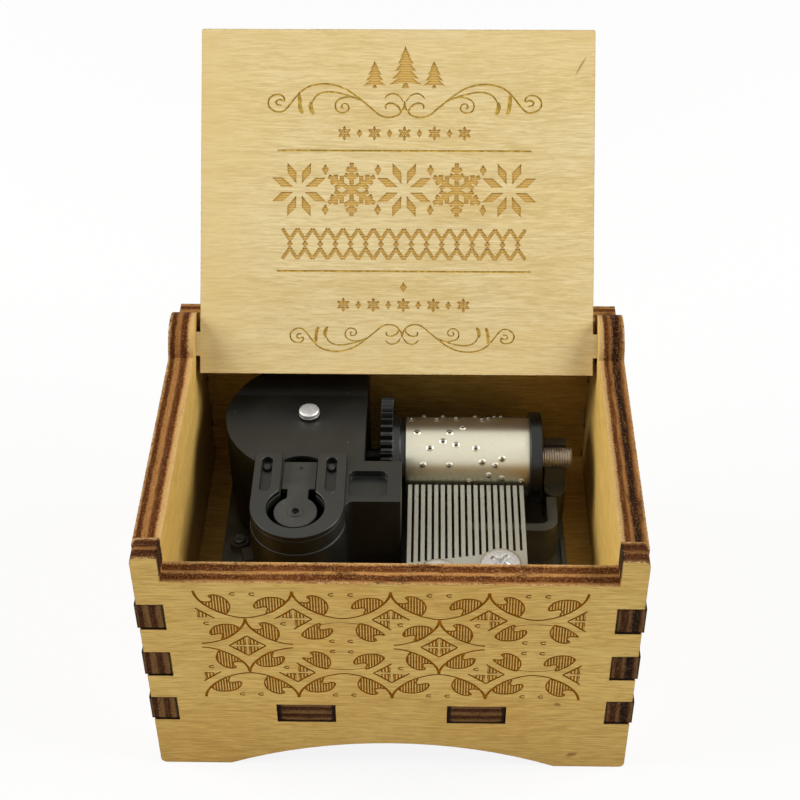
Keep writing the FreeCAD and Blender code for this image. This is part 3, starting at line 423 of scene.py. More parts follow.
def smooth(points, per=5, closed=False):
    """Catmull-Rom curve through the points: a cubic between neighbours, whose slope there is half
    the way from the point before to the point after."""
    points = np.asarray(points, float)
    if closed:
        padded = np.concatenate([points[-1:], points, points[:2]])
    else:
        padded = np.concatenate([2 * points[:1] - points[1:2], points, 2 * points[-1:] - points[-2:-1]])
    a, b, c, d = padded[:-3, None], padded[1:-2, None], padded[2:-1, None], padded[3:, None]
    t = np.linspace(0, 1, per, endpoint=False)[None, :, None]
    curve = 0.5 * (2 * b + (c - a) * t + (2 * a - 5 * b + 4 * c - d) * t ** 2
                   + (3 * b - a - 3 * c + d) * t ** 3)
    curve = curve.reshape(-1, 2)
    return curve if closed else np.concatenate([curve, points[-1:]])


def strip(points, width, closed=False):
    """A line of some width as quads: each run between two points, moved half the width to both sides."""
    points = np.asarray(points, float)
    half = np.broadcast_to(np.asarray(width, float), len(points))[:, None] / 2
    normals = side_normals(points, closed)
    left, right = points + normals * half, points - normals * half
    if closed:
        left, right = (np.concatenate([side, side[:1]]) for side in (left, right))
    return np.stack([right[:-1], right[1:], left[1:], left[:-1]], 1)


def hatch(outline, pitch, width):
    """Upright lines inside an outline. Where a line's x lies between the ends of an edge it crosses
    that edge, and each second stretch between crossings is inside."""
    a, b = outline, np.roll(outline, -1, 0)
    first = math.floor(outline[:, 0].min() / pitch) + 1
    quads = []
    for x in np.arange(first, outline[:, 0].max() / pitch) * pitch:
        crossing = (a[:, 0] > x) != (b[:, 0] > x)
        share = (x - a[crossing, 0]) / (b[crossing, 0] - a[crossing, 0])
        heights = np.sort(a[crossing, 1] + share * (b[crossing, 1] - a[crossing, 1]))
        quads += [rectangle(x - width / 2, x + width / 2, heights[i], heights[i + 1])
                  for i in range(0, len(heights) - 1, 2) if heights[i + 1] - heights[i] > width]
    return np.array(quads).reshape(-1, 4, 2)


# The engraved lattice of the front board, with its middle at the origin


# Distances between cusps and between rows, the level of the diamonds, the depth of a valley, the exponent of
# a scallop, and the outlines of the two leaves that hang from a cusp.
CUSP_STEP, ROW_STEP, DIAMOND_ROW, VALLEY_DROP, SCALLOP_POWER = 12.08, 10.1, 5.1, 4.85, 1.72
MITTEN = [(0.80, -1.95), (1.40, -2.02), (2.00, -1.92), (2.22, -1.58), (2.02, -1.22), (1.84, -0.92),
          (2.35, -0.72), (2.98, -0.84), (3.62, -1.24), (4.08, -1.80), (4.30, -2.46), (4.30, -3.06),
          (4.10, -3.60), (3.85, -4.06), (3.24, -3.92), (2.42, -3.48), (1.50, -2.76)]
BOOT = [(-0.90, -1.80), (-1.48, -1.26), (-2.14, -1.10), (-2.88, -1.10), (-3.62, -1.30), (-4.26, -1.72),
        (-4.64, -2.28), (-4.78, -2.76), (-4.64, -3.04), (-4.26, -3.04), (-3.62, -2.82), (-3.24, -2.90),
        (-3.10, -3.26), (-3.26, -3.66), (-3.26, -4.02), (-2.60, -3.72), (-1.76, -3.06), (-1.22, -2.42)]


def scallop_side(reach, drop, count=22):
    """Half a scallop as a superellipse from its cusp down to its valley:
    (1 - x / reach) ^ n + (depth / drop) ^ n = 1."""
    share = np.linspace(0, 1, count) ** 1.5
    depth = (1 - (1 - share) ** SCALLOP_POWER) ** (1 / SCALLOP_POWER)
    return np.stack([share * reach, -depth * drop], 1)


def leaf(shape, reach):
    """A leaf's outline and its hatch lines, widened to the reach of its scallop."""
    line = size_of("leaf_line")
    outline = smooth(np.array(shape) * (reach / (CUSP_STEP / 2), 1.0), 3, closed=True)
    return [strip(outline, line, closed=True), hatch(outline, size_of("hatch_pitch"), line)]


def scallop(right_reach=CUSP_STEP / 2, left_reach=CUSP_STEP / 2, drop=VALLEY_DROP, line=True):
    """What hangs from one cusp: a line and a mitten leaf to the right, a line and a boot leaf to the left."""
    quads = []
    for reach, side, shape in ((right_reach, 1, MITTEN), (left_reach, -1, BOOT)):
        if not reach:
            continue
        quads += leaf(shape, reach)
        if line:
            path = scallop_side(reach, drop) * (side, 1)
            widths = size_of("cusp_line"), size_of("valley_line")
            quads.append(strip(path, np.interp(np.arange(len(path)), [0, len(path) * 0.6], widths)))
    return np.concatenate(quads)


def hatched_diamond(quarters=(1, 1, 1, 1)):
    """A small diamond cut by a plain cross, of which some quarters are shown.

    Each quarter is a hatched triangle whose outer side is a line, and the lines meet over the cross.
    """
    wide, tall, cross, line, rim_line, pitch = 2.3, 1.85, 0.2, 0.21, 0.15, 0.42
    quads = []
    for shown, side in zip(quarters, ((1, 1), (-1, 1), (-1, -1), (1, -1))):
        if shown:
            corner = np.array([(cross, cross), (wide - 2 * cross, cross), (cross, tall - 1.4 * cross)]) * side
            rim = np.array([(0.0, tall), (wide, 0.0)]) * side
            quads += [strip(corner[[0, 1, 2, 0]], rim_line), hatch(corner, pitch, line), strip(rim, line)]
    return np.concatenate(quads)


def crescent():
    """A tiny mark open to the right: an arc of an ellipse."""
    wide, tall, line, angle = 0.38, 0.23, 0.17, np.radians(np.linspace(50, 310, 11))
    return strip(np.stack([wide * np.cos(angle), tall * np.sin(angle)], 1), line)


def moved(quads, x, y, turn=1):
    return quads * turn + (x, y)


def lattice():
    """Scallops above and below, hatched diamonds under their valleys and leaves in the cells between.

    Each lower half is its upper half turned by half a turn about the middle of the board, diamond or cell.
    """
    step, half, inner, inner_drop, leaf_drop = CUSP_STEP, CUSP_STEP / 2, 5.75, 4.75, 0.3
    brow, brow_line = smooth([(-3.0, 4.0), (-1.6, 4.35), (0.0, 4.45), (1.6, 4.35), (3.0, 4.0)]), 0.09
    plain_cells, leaf_cells = (-1.5, 0.5), (-0.5, 1.5)
    quads = []
    for turn in (1, -1):
        for cusp in range(-2, 3):
            ends = {-2: (half, 0), 2: (0, half)}.get(cusp, (half, half))
            quads.append(moved(scallop(*ends), cusp * step * turn, ROW_STEP * turn, turn))
            odd = cusp % 2
            quarters = {-2: (1, 0, 0, 0), 2: (0, 1, 1, 0)}.get(cusp, (1, 1, 1 - odd, odd))
            quads.append(hatched_diamond(quarters) * (1, turn) + (cusp * step, DIAMOND_ROW * turn))
        for middle in plain_cells:
            quads.append(moved(scallop(inner, inner, inner_drop), middle * step, DIAMOND_ROW * turn, turn))
        for middle in leaf_cells:
            quads += [moved(scallop(*ends, line=False), middle * step + side * half * turn,
                            -leaf_drop * turn, turn) for side, ends in ((-1, (half, 0)), (1, (0, half)))]
            quads.append(moved(strip(brow, brow_line), middle * step, 0.0, turn))
    quads += [moved(hatched_diamond(), middle * step, 0.0) for middle in plain_cells]
    # The tiny marks: to the sides of which cells' middles, how far, and at which levels.
    for cells, shifts, levels in ((plain_cells + leaf_cells, (-1.2, 1.2), (-9.55, 9.55)),
                                  (leaf_cells, (-1.3, 1.0), (-1.0, 1.0)),
                                  (plain_cells, (-4.8, 4.8), (-4.15, 4.15))):
        quads += [moved(crescent(), middle * step + shift, level)
                  for middle in sorted(cells) for shift in shifts for level in levels]
    return np.concatenate(quads)


# The ornament of the lid


# Each line's width and the points of its curve, on the left half.
SCROLL_LINES = (
    (0.26, [(-17.2, -0.5), (-17.8, -0.4), (-18.0, 0.0), (-17.5, 0.3), (-16.9, 0.1), (-16.9, 0.6),
            (-17.4, 0.95), (-18.1, 0.95), (-18.8, 0.6), (-19.1, -0.1), (-18.9, -0.8), (-18.1, -1.35),
            (-17.2, -1.4), (-16.4, -0.8), (-15.3, 0.6), (-14.3, 1.6), (-13.0, 2.25), (-11.2, 2.5),
            (-9.5, 2.25), (-7.9, 1.6), (-6.2, 0.4), (-4.6, -0.9), (-3.5, -1.8), (-2.4, -2.15), (-1.2, -1.95),
            (-0.55, -1.4), (-0.75, -0.8), (-1.35, -0.3), (-2.1, -0.15), (-2.65, -0.45), (-2.6, -0.95)]),
    (0.22, [(-0.2, 0.1), (-0.8, 0.9), (-1.7, 1.2), (-2.4, 0.95), (-2.8, 0.5)]),
    (0.24, [(-13.0, -0.1), (-12.5, 0.7), (-11.7, 1.2), (-10.6, 1.4), (-9.3, 1.25), (-7.9, 0.9), (-6.8, 0.5),
            (-5.9, 0.1)]),
    (0.22, [(-6.3, 0.4), (-7.1, 0.6), (-7.9, 0.7), (-8.7, 0.55), (-9.4, 0.2), (-9.7, -0.4), (-9.5, -1.15),
            (-8.9, -1.5), (-8.2, -1.4), (-7.8, -0.9), (-8.0, -0.35), (-8.6, -0.25), (-8.85, -0.7),
            (-8.5, -0.9)]),
    (0.55, [(-14.8, 1.1), (-14.7, 0.4), (-14.65, -0.5), (-14.5, -1.2), (-14.2, -1.6)]),
    (0.60, [(-13.05, 0.0), (-13.15, -0.6), (-13.0, -1.2), (-12.7, -1.7)]),
    (0.30, [(0.0, 0.1), (-0.1, -0.7), (-0.5, -1.35)]),
)


def scroll():
    """A wave that ends in a spiral, an inner line, a smaller spiral and two stubs, with a mirror image."""
    quads = []
    for width, points in SCROLL_LINES:
        path = smooth(points, 4)
        taper = np.interp(np.arange(len(path)), [0, 3, len(path) - 4, len(path) - 1], [0.6, 1.0, 1.0, 0.6])
        line = strip(path, width * taper)
        quads += [line, line[:, ::-1] * (-1, 1)]
    return np.concatenate(quads)


def fir(tall, half_wide, tiers=4):
    """A fir tree: each tier is a flared slice whose tips hang lower than its middle, on a short trunk."""
    parts, trunk = tiers + 0.6, 0.09
    quads = []
    for tier in range(tiers):
        top = tall * (1 - tier / parts)
        foot = max(tall * (1 - (tier + 1.35) / parts), tall * 0.085)
        wide = half_wide * ((tier + 1.25) / (tiers + 0.25)) ** 0.85
        neck, shoulder = wide * 0.42 if tier else 0.05, top - 0.2 * (top - foot)
        hem = (0.0, foot + 0.12 * wide)
        quads += [[(-wide, foot), hem, (0.0, top), (-neck, shoulder)],
                  [hem, (wide, foot), (neck, shoulder), (0.0, top)]]
    quads.append([(-trunk * tall, 0.0), (trunk * tall, 0.0), (trunk / 2 * tall, 0.12 * tall),
                  (-trunk / 2 * tall, 0.12 * tall)])
    return np.array(quads)


def turned_copies(quads, count):
    """Copies of some quads, turned about the origin in equal steps."""
    turns = [np.array([(math.cos(a), math.sin(a)), (-math.sin(a), math.cos(a))])
             for a in np.arange(count) * math.pi / (count / 2)]
    return np.concatenate([quads @ turn for turn in turns])


def star(radius):
    """An eight-petalled knitting star: slim rhombs in pairs beside each of four axes."""
    petal = np.array([(0.10, 0.22), (0.44, 0.62), (0.44, 1.0), (0.10, 0.66)]) * radius
    return turned_copies(np.array([petal, petal[::-1] * (-1, 1)]), 4)


def snowflake(radius, width):
    """Six arms with two pairs of side branches each."""
    runs = [((0.0, 0.0), (0.0, 1.0))]
    for at, reach in ((0.42, 0.30), (0.68, 0.22)):
        runs += [((0.0, at), (side * reach * 0.87, at + reach * 0.5)) for side in (1, -1)]
    return turned_copies(np.concatenate([strip(np.array(run) * radius, width) for run in runs]), 6)


def lozenge(half_wide, half_tall):
    return np.array([[(-half_wide, 0.0), (0.0, -half_tall), (half_wide, 0.0), (0.0, half_tall)]])


def zigzag(left, right, tall, count, width):
    x = np.linspace(left, right, 2 * count + 1)
    y = np.where(np.arange(2 * count + 1) % 2, tall, 0.0)
    runs = [strip(np.stack([x[i:i + 2], y[i:i + 2]], 1), width) for i in range(2 * count)]
    return np.concatenate(runs)


def lid_ornament():
    """Fir trees and scrolls at the top, a knitted band between two rules, and a scroll below.

    Gives the lines, which the beam burns dark, and the areas, which it only lightly takes down.
    """
    middle, fir_foot, rule_half = 0.95, 35.9, 0.13
    lines = [moved(scroll(), middle, 33.95), scroll() * (0.82, -0.82) + (middle - 0.15, 1.1)]
    lines += [rectangle(-16.8, 18.7, v - rule_half, v + rule_half)[None] for v in (27.15, 10.3)]
    areas = [moved(shape, middle + x, fir_foot)
             for shape, x in ((fir(5.9, 2.3, 5), 0.1), (fir(3.85, 1.6), -4.2), (fir(3.85, 1.6), 4.1))]

    def row(count, pitch, *levels_and_shapes):
        """Level rows of shapes, evenly about the middle, where each row takes its shapes by turns."""
        for index in range(count):
            x = middle + (index - (count - 1) / 2) * pitch
            areas.extend(moved(shapes[index % len(shapes)], x, level) for level, *shapes in levels_and_shapes)

    row(5, 7.35, (21.7, star(3.75), snowflake(3.75, 0.62)))
    row(4, 7.35, (24.5, lozenge(0.5, 0.8)), (18.9, lozenge(0.5, 0.8)))
    for rise, level in ((1.5, 12.0), (-1.5, 16.2)):
        areas.append(moved(zigzag(-17.0, 17.0, rise, 16, 0.5), middle, level))
    row(16, 2.125, (14.1, lozenge(0.45, 0.55)))
    for level in (29.6, 5.6):
        row(9, 2.1, (level, snowflake(0.95, 0.22), lozenge(0.42, 0.6)))
    areas.append(moved(lozenge(0.5, 0.7), middle, 8.1))
    return np.concatenate(lines), np.concatenate(areas)


# Boards


def halves(quads):
    """Both triangles of each quad, without those that have no area."""
    quads = np.asarray(quads, float).reshape(-1, 4, 2)
    triangles = np.concatenate([quads[:, [0, 1, 2]], quads[:, [0, 2, 3]]])
    first, second = triangles[:, 1] - triangles[:, 0], triangles[:, 2] - triangles[:, 0]
    return triangles[np.abs(first[:, 0] * second[:, 1] - first[:, 1] * second[:, 0]) > 1e-5]


def flat_face(scorch, outline, holes, lines=(), areas=()):
    """Triangles of a board's face: the outline without its holes, split along what is engraved.

    Returns the points, the triangles, the kind of each (0 plain, 1 burnt line, 2 engraved area)
    and how scorched each point is.
    """
    loops = [leftwards(loop) for loop in (outline, *holes)]
    edge_count = sum(len(loop) for loop in loops)
    loops += [inset(loops[0], scorch)] + [inset(hole, -scorch) for hole in loops[1:]]
    marks = [leftwards(halves(quads)) for quads in (lines, areas)]
    points = np.concatenate(loops + [part.reshape(-1, 2) for part in marks])
    edges, faces, start = [], [], 0
    for index, loop in enumerate(loops):
        numbers = list(range(start, start + len(loop)))
        if index <= len(holes):
            faces.append(numbers)
        else:
            edges += list(zip(numbers, numbers[1:] + numbers[:1]))
        start += len(loop)
    faces += np.arange(start, len(points)).reshape(-1, 3).tolist()
    inside_only, nearest = 1, 1e-5
    corners = [Vector(point) for point in points.tolist()]
    found = delaunay_2d_cdt(corners, edges, faces, inside_only, nearest, True)
    corners = np.array([tuple(point) for point in found[0]])
    triangles = np.array(found[2])
    origin = [set(ids) for ids in found[5]]
    first_line = len(holes) + 1
    first_area = first_line + len(marks[0])
    kept = np.array([0 in ids and not any(0 < i < first_line for i in ids) for ids in origin])
    kinds = np.array([1 if any(first_line <= i < first_area for i in ids) else
                      2 * (max(ids, default=0) >= first_area) for ids in origin])
    a, b, c = (corners[triangles[:, i]] for i in range(3))
    area = (b - a)[:, 0] * (c - a)[:, 1] - (b - a)[:, 1] * (c - a)[:, 0]
    triangles = np.where((area < 0)[:, None], triangles[:, ::-1], triangles)
    kept &= np.abs(area) > 1e-9
    burnt = np.array([any(i < edge_count for i in ids) for ids in found[3]], float)
    return corners, triangles[kept], kinds[kept], burnt


def border(triangles):
    """Directed edges that only one triangle has."""
    edges = np.concatenate([triangles[:, [0, 1]], triangles[:, [1, 2]], triangles[:, [2, 0]]])
    size = triangles.max() + 1
    both = np.isin(edges[:, 0] * size + edges[:, 1], edges[:, 1] * size + edges[:, 0])
    return edges[~both]


def board_place(name):
    """Origin and axes (across, up, outwards) of a board's marked face, in millimetres."""
    if name == "lid":
        turn = Matrix.Rotation(math.radians(LID_TURN), 3, "X")
        hinge = np.array([0.0, FRONT + HINGE_BACK, HINGE_UP])
        across, up, out = (np.array(turn @ Vector(axis)) for axis in ((1, 0, 0), (0, -1, 0), (0, 0, -1)))
        return hinge + out * size_of("ply") / 2, across, up, out
    places = {
        "front_panel": ((0, FRONT, 0), (1, 0, 0), (0, 0, 1), (0, -1, 0)),
        "back_panel": ((0, FRONT + DEPTH, 0), (-1, 0, 0), (0, 0, 1), (0, 1, 0)),
        "left_panel": ((-SIDE_FACE, FRONT, 0), (0, -1, 0), (0, 0, 1), (-1, 0, 0)),
        "right_panel": ((SIDE_FACE, FRONT, 0), (0, 1, 0), (0, 0, 1), (1, 0, 0)),
        "floor_panel": ((0, FRONT, FLOOR_HIGH - FLOOR_THINNER), (1, 0, 0), (0, 1, 0), (0, 0, 1)),
    }
    return tuple(np.array(part, float) for part in places[name])


def board(name, outline, holes=(), lines=(), areas=(), depth=0.1, thinner=0.0, slot="wood_case", body="case",
          seed=0.0):
    """One board: a marked face with its engraving sunk into it, a plain back face and the cut edge between.

    Points at (u, v) and depth w go to origin + u across + v up - w outwards.
    """
    origin, across, up, out = board_place(name)
    scorch, thick = size_of("scorch"), size_of("ply") - thinner
    face, triangles, engraved, burnt = flat_face(scorch, outline, holes, lines, areas)
    back, back_triangles, _, back_burnt = flat_face(scorch, outline, holes)
    count = len(face)
    flat = np.concatenate([face, face, face, back])
    sunk = np.repeat([0.0, depth, thick, thick], [count, count, count, len(back)])
    points = origin + flat[:, :1] * across + flat[:, 1:] * up - sunk[:, None] * out
    rim = border(triangles)
    parts = [triangles[engraved == 0], back_triangles[:, ::-1] + 3 * count,
             np.stack([rim[:, 0] + 2 * count, rim[:, 1] + 2 * count, rim[:, 1], rim[:, 0]], 1)]
    kinds = [0, 0, 1]
    if engraved.any():
        wall = border(triangles[engraved > 0])
        parts += [triangles[engraved == 1] + count, triangles[engraved == 2] + count,
                  np.stack([wall[:, 0], wall[:, 1], wall[:, 1] + count, wall[:, 0] + count], 1)]
        # The walls of what is engraved take the burnt line's colour: the beam's burn, and partly painted
        # shade of the recess.
        kinds += [2, 3, 2]
    kinds = np.repeat(kinds, [len(part) for part in parts])
    marks = np.concatenate([burnt, burnt, burnt, back_burnt])
    materials = wood(name, origin, across, up, out, thick, seed)
    make_piece(name + "_wood", points, parts, materials, body, slot, (name,), None, kinds, marks)


# Wood


# The plies of a cut edge from the marked face to the back: where each tone is reached, and the tone
# from 0, the dark ply, to 1, the pale one, with more for bare chips and less for char.
PLIES = {
    "left_panel": ((0.0, 0.3), (0.05, 0.9), (0.12, 0.0), (0.25, 0.0), (0.31, 0.9), (0.46, 1.1), (0.54, 0.1),
                   (0.71, 0.0), (0.79, 0.9), (1.0, 1.25)),
    "right_panel": ((0.0, 1.0), (0.14, 0.7), (0.22, 0.0), (0.27, -0.5), (0.45, -0.6), (0.52, 0.5),
                    (0.58, 0.95), (0.66, 0.1), (0.82, 0.0), (0.90, 0.5), (1.0, 1.2)),
    "front_panel": ((0.0, 1.0), (0.12, 0.7), (0.18, 0.0), (0.40, 0.1), (0.45, 0.9), (0.55, 1.1), (0.60, 0.1),
                    (0.84, 0.0), (0.90, 0.9), (1.0, 1.4)),
}
PLAIN_PLIES = ((0.0, 0.9), (0.16, 1.0), (0.21, 0.0), (0.36, 0.1), (0.42, 0.9), (0.56, 1.0), (0.61, 0.0),
               (0.78, 0.1), (0.83, 0.8), (1.0, 1.2))
# How much of a cut edge is charred.
CHAR, PLAIN_CHAR = {"left_panel": 0.10, "right_panel": 0.40, "front_panel": 0.45}, 0.35


def wood(name, origin, across, up, out, thick, seed):
    """Veneer, cut edge, burnt line and engraved area of one board, in the board's own axes."""
    turn = Matrix(np.stack([across, up, out], 1).tolist()).to_euler()
    place = {"centre": tuple(origin * MM), "turn": tuple(turn)}
    face = colour_of("veneer_lid" if name == "lid" else "veneer")
    return [veneer(name, place, face, seed), cut_edge(name, place, thick, seed),
            burnt_line(name, place), engraved_area(name, place, face, seed)]


def shade(colour, *factors):
    """A colour with each part multiplied by its factor."""
    return tuple(part * factor for part, factor in zip(colour, factors * 3 if len(factors) == 1 else factors))


def offset(shader, at, seed):
    """Another stretch of the same timber for each board."""
    return shader.vector("ADD", at, (seed * 37.0, seed * 11.0, seed * 5.0))


def grain(shader, at, face, seed, strength=1.0):
    """Veneer colour and height, all along the grain: warm clouds, wavy bands, fine fibres and pale silk."""
    at = offset(shader, at, seed)
    wave = shader.noise(at, (0.4, 0.4, 0.4), 6.0, 2.0, out=1)
    bent = shader.vector("ADD", at, shader.vector("MULTIPLY", wave, (0.0, 1.1, 0.0)))
    cloud = shader.noise(at, (0.6, 1.0, 1.0), 15.0)
    stain = shader.noise(at, (0.35, 1.0, 1.0), 7.0, 3.0, 0.6)
    band = shader.noise(bent, (0.06, 1.0, 1.0), 1.4, 3.0, 0.6)
    fibre = shader.noise(bent, (0.08, 1.0, 1.0), 0.23, 3.0, 0.65)
    silk = shader.noise(bent, (0.08, 1.0, 1.0), 0.28, 3.0, 0.65)
    pore = shader.noise(bent, (0.15, 1.0, 1.0), 0.26, 1.0, 0.4)
    base = face
    # Each layer: where its noise begins and where it is full, its share, and its tint of the plain face.
    for layer, begins, full, share, tint in (
            (cloud, 0.40, 0.66, 0.85, (0.93, 0.85, 0.66)), (stain, 0.50, 0.70, 0.60, (0.86, 0.74, 0.52)),
            (band, 0.44, 0.66, 0.55, (0.82, 0.74, 0.58)), (fibre, 0.44, 0.62, 0.66, (0.70, 0.61, 0.46)),
            (silk, 0.48, 0.64, 0.60, (1.17, 1.20, 1.35)), (pore, 0.70, 0.80, 0.35, (0.50, 0.40, 0.28))):
        base = shader.mix(layer.above(begins, full) * (share * strength), base, shade(face, *tint))
    return base, fibre * 0.5 + band * 0.3 - silk * 0.3


def veneer(name, place, face, seed):
    """Pale face with its grain, darkened to a thin scorched line beside the cuts."""
    shader = Shader(name + "_veneer")
    at = shader.space(**place)
    base, height = grain(shader, at, face, seed, 0.7 if name == "lid" else 1.0)
    if name == "lid":
        # The lid is warmer towards its edges, and has a short scratch near the top right corner.
        u, v = shader.part(at, 0), shader.part(at, 1)
        warm = u.math("MAXIMUM", 1 - u.above(-30.0, -14.0), abs(v - 20.0).above(12.0, 30.0) * 0.7)
        base = shader.mix(warm * 0.6, base, shade(face, 0.94, 0.85, 0.68))
        scratch = blot(shader, at, (25.5, 39.1), (1.5, 0.16), 1.05)
        base = shader.mix(scratch * 0.75, base, shade(face, 0.42, 0.30, 0.15))
    if name == "front_panel":
        # Painted shade: the face is darker towards the foot. A small knot sits above the right foot, with a
        # speck over it.
        foot = 1 - shader.part(at, 1).above(2.0, 20.0)
        base = shader.mix(foot, base, (0.85, 0.82, 0.75), "MULTIPLY")
        knot = blot(shader, at, (24.1, 2.6), (0.8, 0.5), 0.4)
        knot = knot + blot(shader, at, (21.6, 13.1), (0.5, 0.35), 0.0)
        base = shader.mix(knot * 0.8, base, shade(face, 0.33, 0.20, 0.10))
    scorch = shader.node("Attribute", {"attribute_name": "scorch"}, out=2)
    ragged = shader.noise(at, (1, 1, 1), 0.5)
    smoke = shader.noise(at, (1, 1, 1), 4.0, 2.0)
    line = (scorch + (ragged - 0.5) * 1.1 + (smoke - 0.5) * 0.6).above(0.55, 1.15) * 0.85
    base = shader.mix(line, base, shade(colour_of("ply_dark"), 1.15))
    normal = shader.bump(height, 0.6, 0.08)
    rough = 0.55 + shader.noise(at, (0.2, 1, 1), 1.5) * 0.18
    return shader.surface(Base_Color=base, Roughness=rough, Specular_IOR_Level=0.3, Normal=normal)


def blot(shader, at, centre, half, turn):
    """1 inside a small ragged ellipse with its middle at a place on the board, and 0 outside."""
    own = shader.seen_from(at, (*centre, 0.0), (0.0, 0.0, turn), (*half, 1.0))
    away = shader.vector("LENGTH", shader.vector("MULTIPLY", own, (1.0, 1.0, 0.0)), out=1)
    return 1 - (away + (shader.noise(at, (1, 1, 1), 0.4) - 0.5) * 1.2).above(0.5, 1.2)


def joints_and_gap_shadow(shader, at, name):
    """1 where a cut edge is inside a joint, and a mask for the painted shadow of the joint's gaps: 1 at the
    corners of a tab's end, or all over for a notch.
    """
    u, v = shader.part(at, 0), shader.part(at, 1)
    if name in ("front_panel", "back_panel"):
        notch = abs(u).above(27.8, 27.9) * (1 - abs(u).above(31.1, 31.25))
        notch = notch * v.above(5.0, 6.0) * (1 - v.above(33.0, 34.0))
        slot = (1 - abs(u).above(15.5, 16.0)) * v.above(8.0, 8.5) * (1 - v.above(13.0, 13.5))
        return u.math("MAXIMUM", notch, slot), 1.0
    if name == "lid":
        joint, corner = abs(u).above(27.6, 27.9), abs(v) * (1 / LID_TAB)
    elif name == "floor_panel":
        tab = SIDE_SLOT_HALF - KERF
        beyond = [abs(u).above(28.0, 28.3), abs(v - MIDDLE).above(22.4, 22.7)]
        inside = [abs(v - MIDDLE) * (1 / tab), abs(abs(u) - sum(END_SLOT) / 2) * (1 / tab)]
        joint, corner = u.math("MAXIMUM", *beyond), u.math("MINIMUM", *inside)
    else:
        rise = v - (FINGERS[0] + FINGER_TALL / 2)
        joint = abs(abs(u) - MIDDLE).above(22.4, 22.7)
        corner = rise.math("PINGPONG", rise, (FINGERS[1] - FINGERS[0]) / 2) * (2 / FINGER_TALL)
    return joint, corner.above(0.80, 0.97)


def cut_edge(name, place, thick, seed):
    """Laser-cut edge: five plies across the thickness, charred unevenly, with chipped pale borders.

    Inside the joints the edge is darkened, and painted nearly black with the shadow of the joint's gaps, most
    of all at the corners of the tabs, mixed with char.
    """
    shader = Shader(name + "_cut_edge")
    plain = shader.space(**place)
    at = offset(shader, plain, seed)
    wander = shader.noise(at, (0.4, 0.4, 0.4), 1.4)
    fleck = shader.noise(at, (1.0, 1.0, 0.7), 0.22, 3.0, 0.7)
    across = shader.part(plain, 2) * (-1.0 / thick) + (wander - 0.5) * 0.10 + (fleck - 0.5) * 0.14
    light, dark = colour_of("ply_light"), colour_of("ply_dark")
    pale, deep = np.array(light), np.array(dark)
    stops = [(position, tuple(np.maximum(deep + (pale - deep) * level, deep * 0.15)))
             for position, level in PLIES.get(name, PLAIN_PLIES)]
    plies = shader.node("ValToRGB", {"stops": stops}, {"Fac": across})
    cloud = shader.noise(at, (1, 1, 1), 6.0)
    char = shader.noise(at, (0.25, 0.25, 1.6), 0.8, 4.0, 0.7) + (cloud - 0.5) * 0.5
    strand = shader.noise(at, (0.3, 0.3, 2.4), 0.5, 4.0, 0.75)
    chip = shader.noise(at, (0.8, 0.8, 1.0), 0.30, 4.0, 0.75)
    level = CHAR.get(name, PLAIN_CHAR)
    base = shader.mix(char.above(0.60 - level * 0.25, 0.80 - level * 0.25) * 0.8, plies, shade(dark, 0.5))
    base = shader.mix(strand.above(0.52, 0.66) * 0.25, base, shade(light, 1.15, 1.35, 1.4))
    base = shader.mix(strand.above(0.47, 0.36) * 0.60, base, (0.42, 0.30, 0.24), "MULTIPLY")
    base = shader.mix(fleck.above(0.54, 0.66) * 0.35, base, shade(light, 1.15, 1.4, 1.6))
    base = shader.mix(fleck.above(0.48, 0.36) * 0.60, base, (0.42, 0.32, 0.26), "MULTIPLY")
    if name in ("left_panel", "right_panel"):
        # The round ears are scorched across their outer plies and worn pale inside.
        ear = shader.part(plain, 1).above(37.4, 39.0)
        base = shader.mix(ear * (1 - across.above(0.70, 0.84)) * 0.75, base, (0.42, 0.34, 0.30), "MULTIPLY")
        base = shader.mix(ear * across.above(0.78, 0.86) * 0.7, base, shade(light, 1.15, 1.6, 2.2))
    if name == "front_panel":
        # Its square ears are darker than its top edge, and nearly black on the side towards the lid.
        ear = shader.part(plain, 1).above(36.1, 36.7)
        base = shader.mix(ear * 0.8, base, (0.36, 0.31, 0.31), "MULTIPLY")
        inner = 1 - abs(shader.part(plain, 0)).above(28.05, 28.3)
        base = shader.mix(ear * inner * 0.75, base, (0.012, 0.007, 0.004))
        base = shader.mix(0.5, base, (0.82, 0.80, 0.84), "MULTIPLY")
    rim = abs(across - 0.5).above(0.38, 0.50)
    base = shader.mix(rim * chip.above(0.44, 0.56) * 0.85, base, shade(light, 1.15, 1.6, 2.3))
    base = shader.mix(chip.above(0.64, 0.70) * 0.75, base, shade(light, 1.3, 2.1, 3.6))
    joint, corner = joints_and_gap_shadow(shader, plain, name)
    # Inside the joints the edge is darkened. It is painted nearly black where the shadow of the gaps falls,
    # at the tabs' corners and along the plies' borders, mixed with char.
    dull = shader.mix(1.0, base, (0.34, 0.34, 0.38), "MULTIPLY")
    black = (corner + rim * 0.8 + (char - 0.5) * 0.6).above(0.2, 0.9)
    dull = shader.mix(black * 0.9, dull, (0.008, 0.004, 0.002))
    base = shader.mix(joint, base, dull)
    normal = shader.bump(strand * 0.8 + char * 0.6 + chip * 0.6, 0.8, 0.2)
    rough = 0.72 + char * 0.2
    return shader.surface(Base_Color=base, Roughness=rough, Specular_IOR_Level=0.08, Normal=normal)


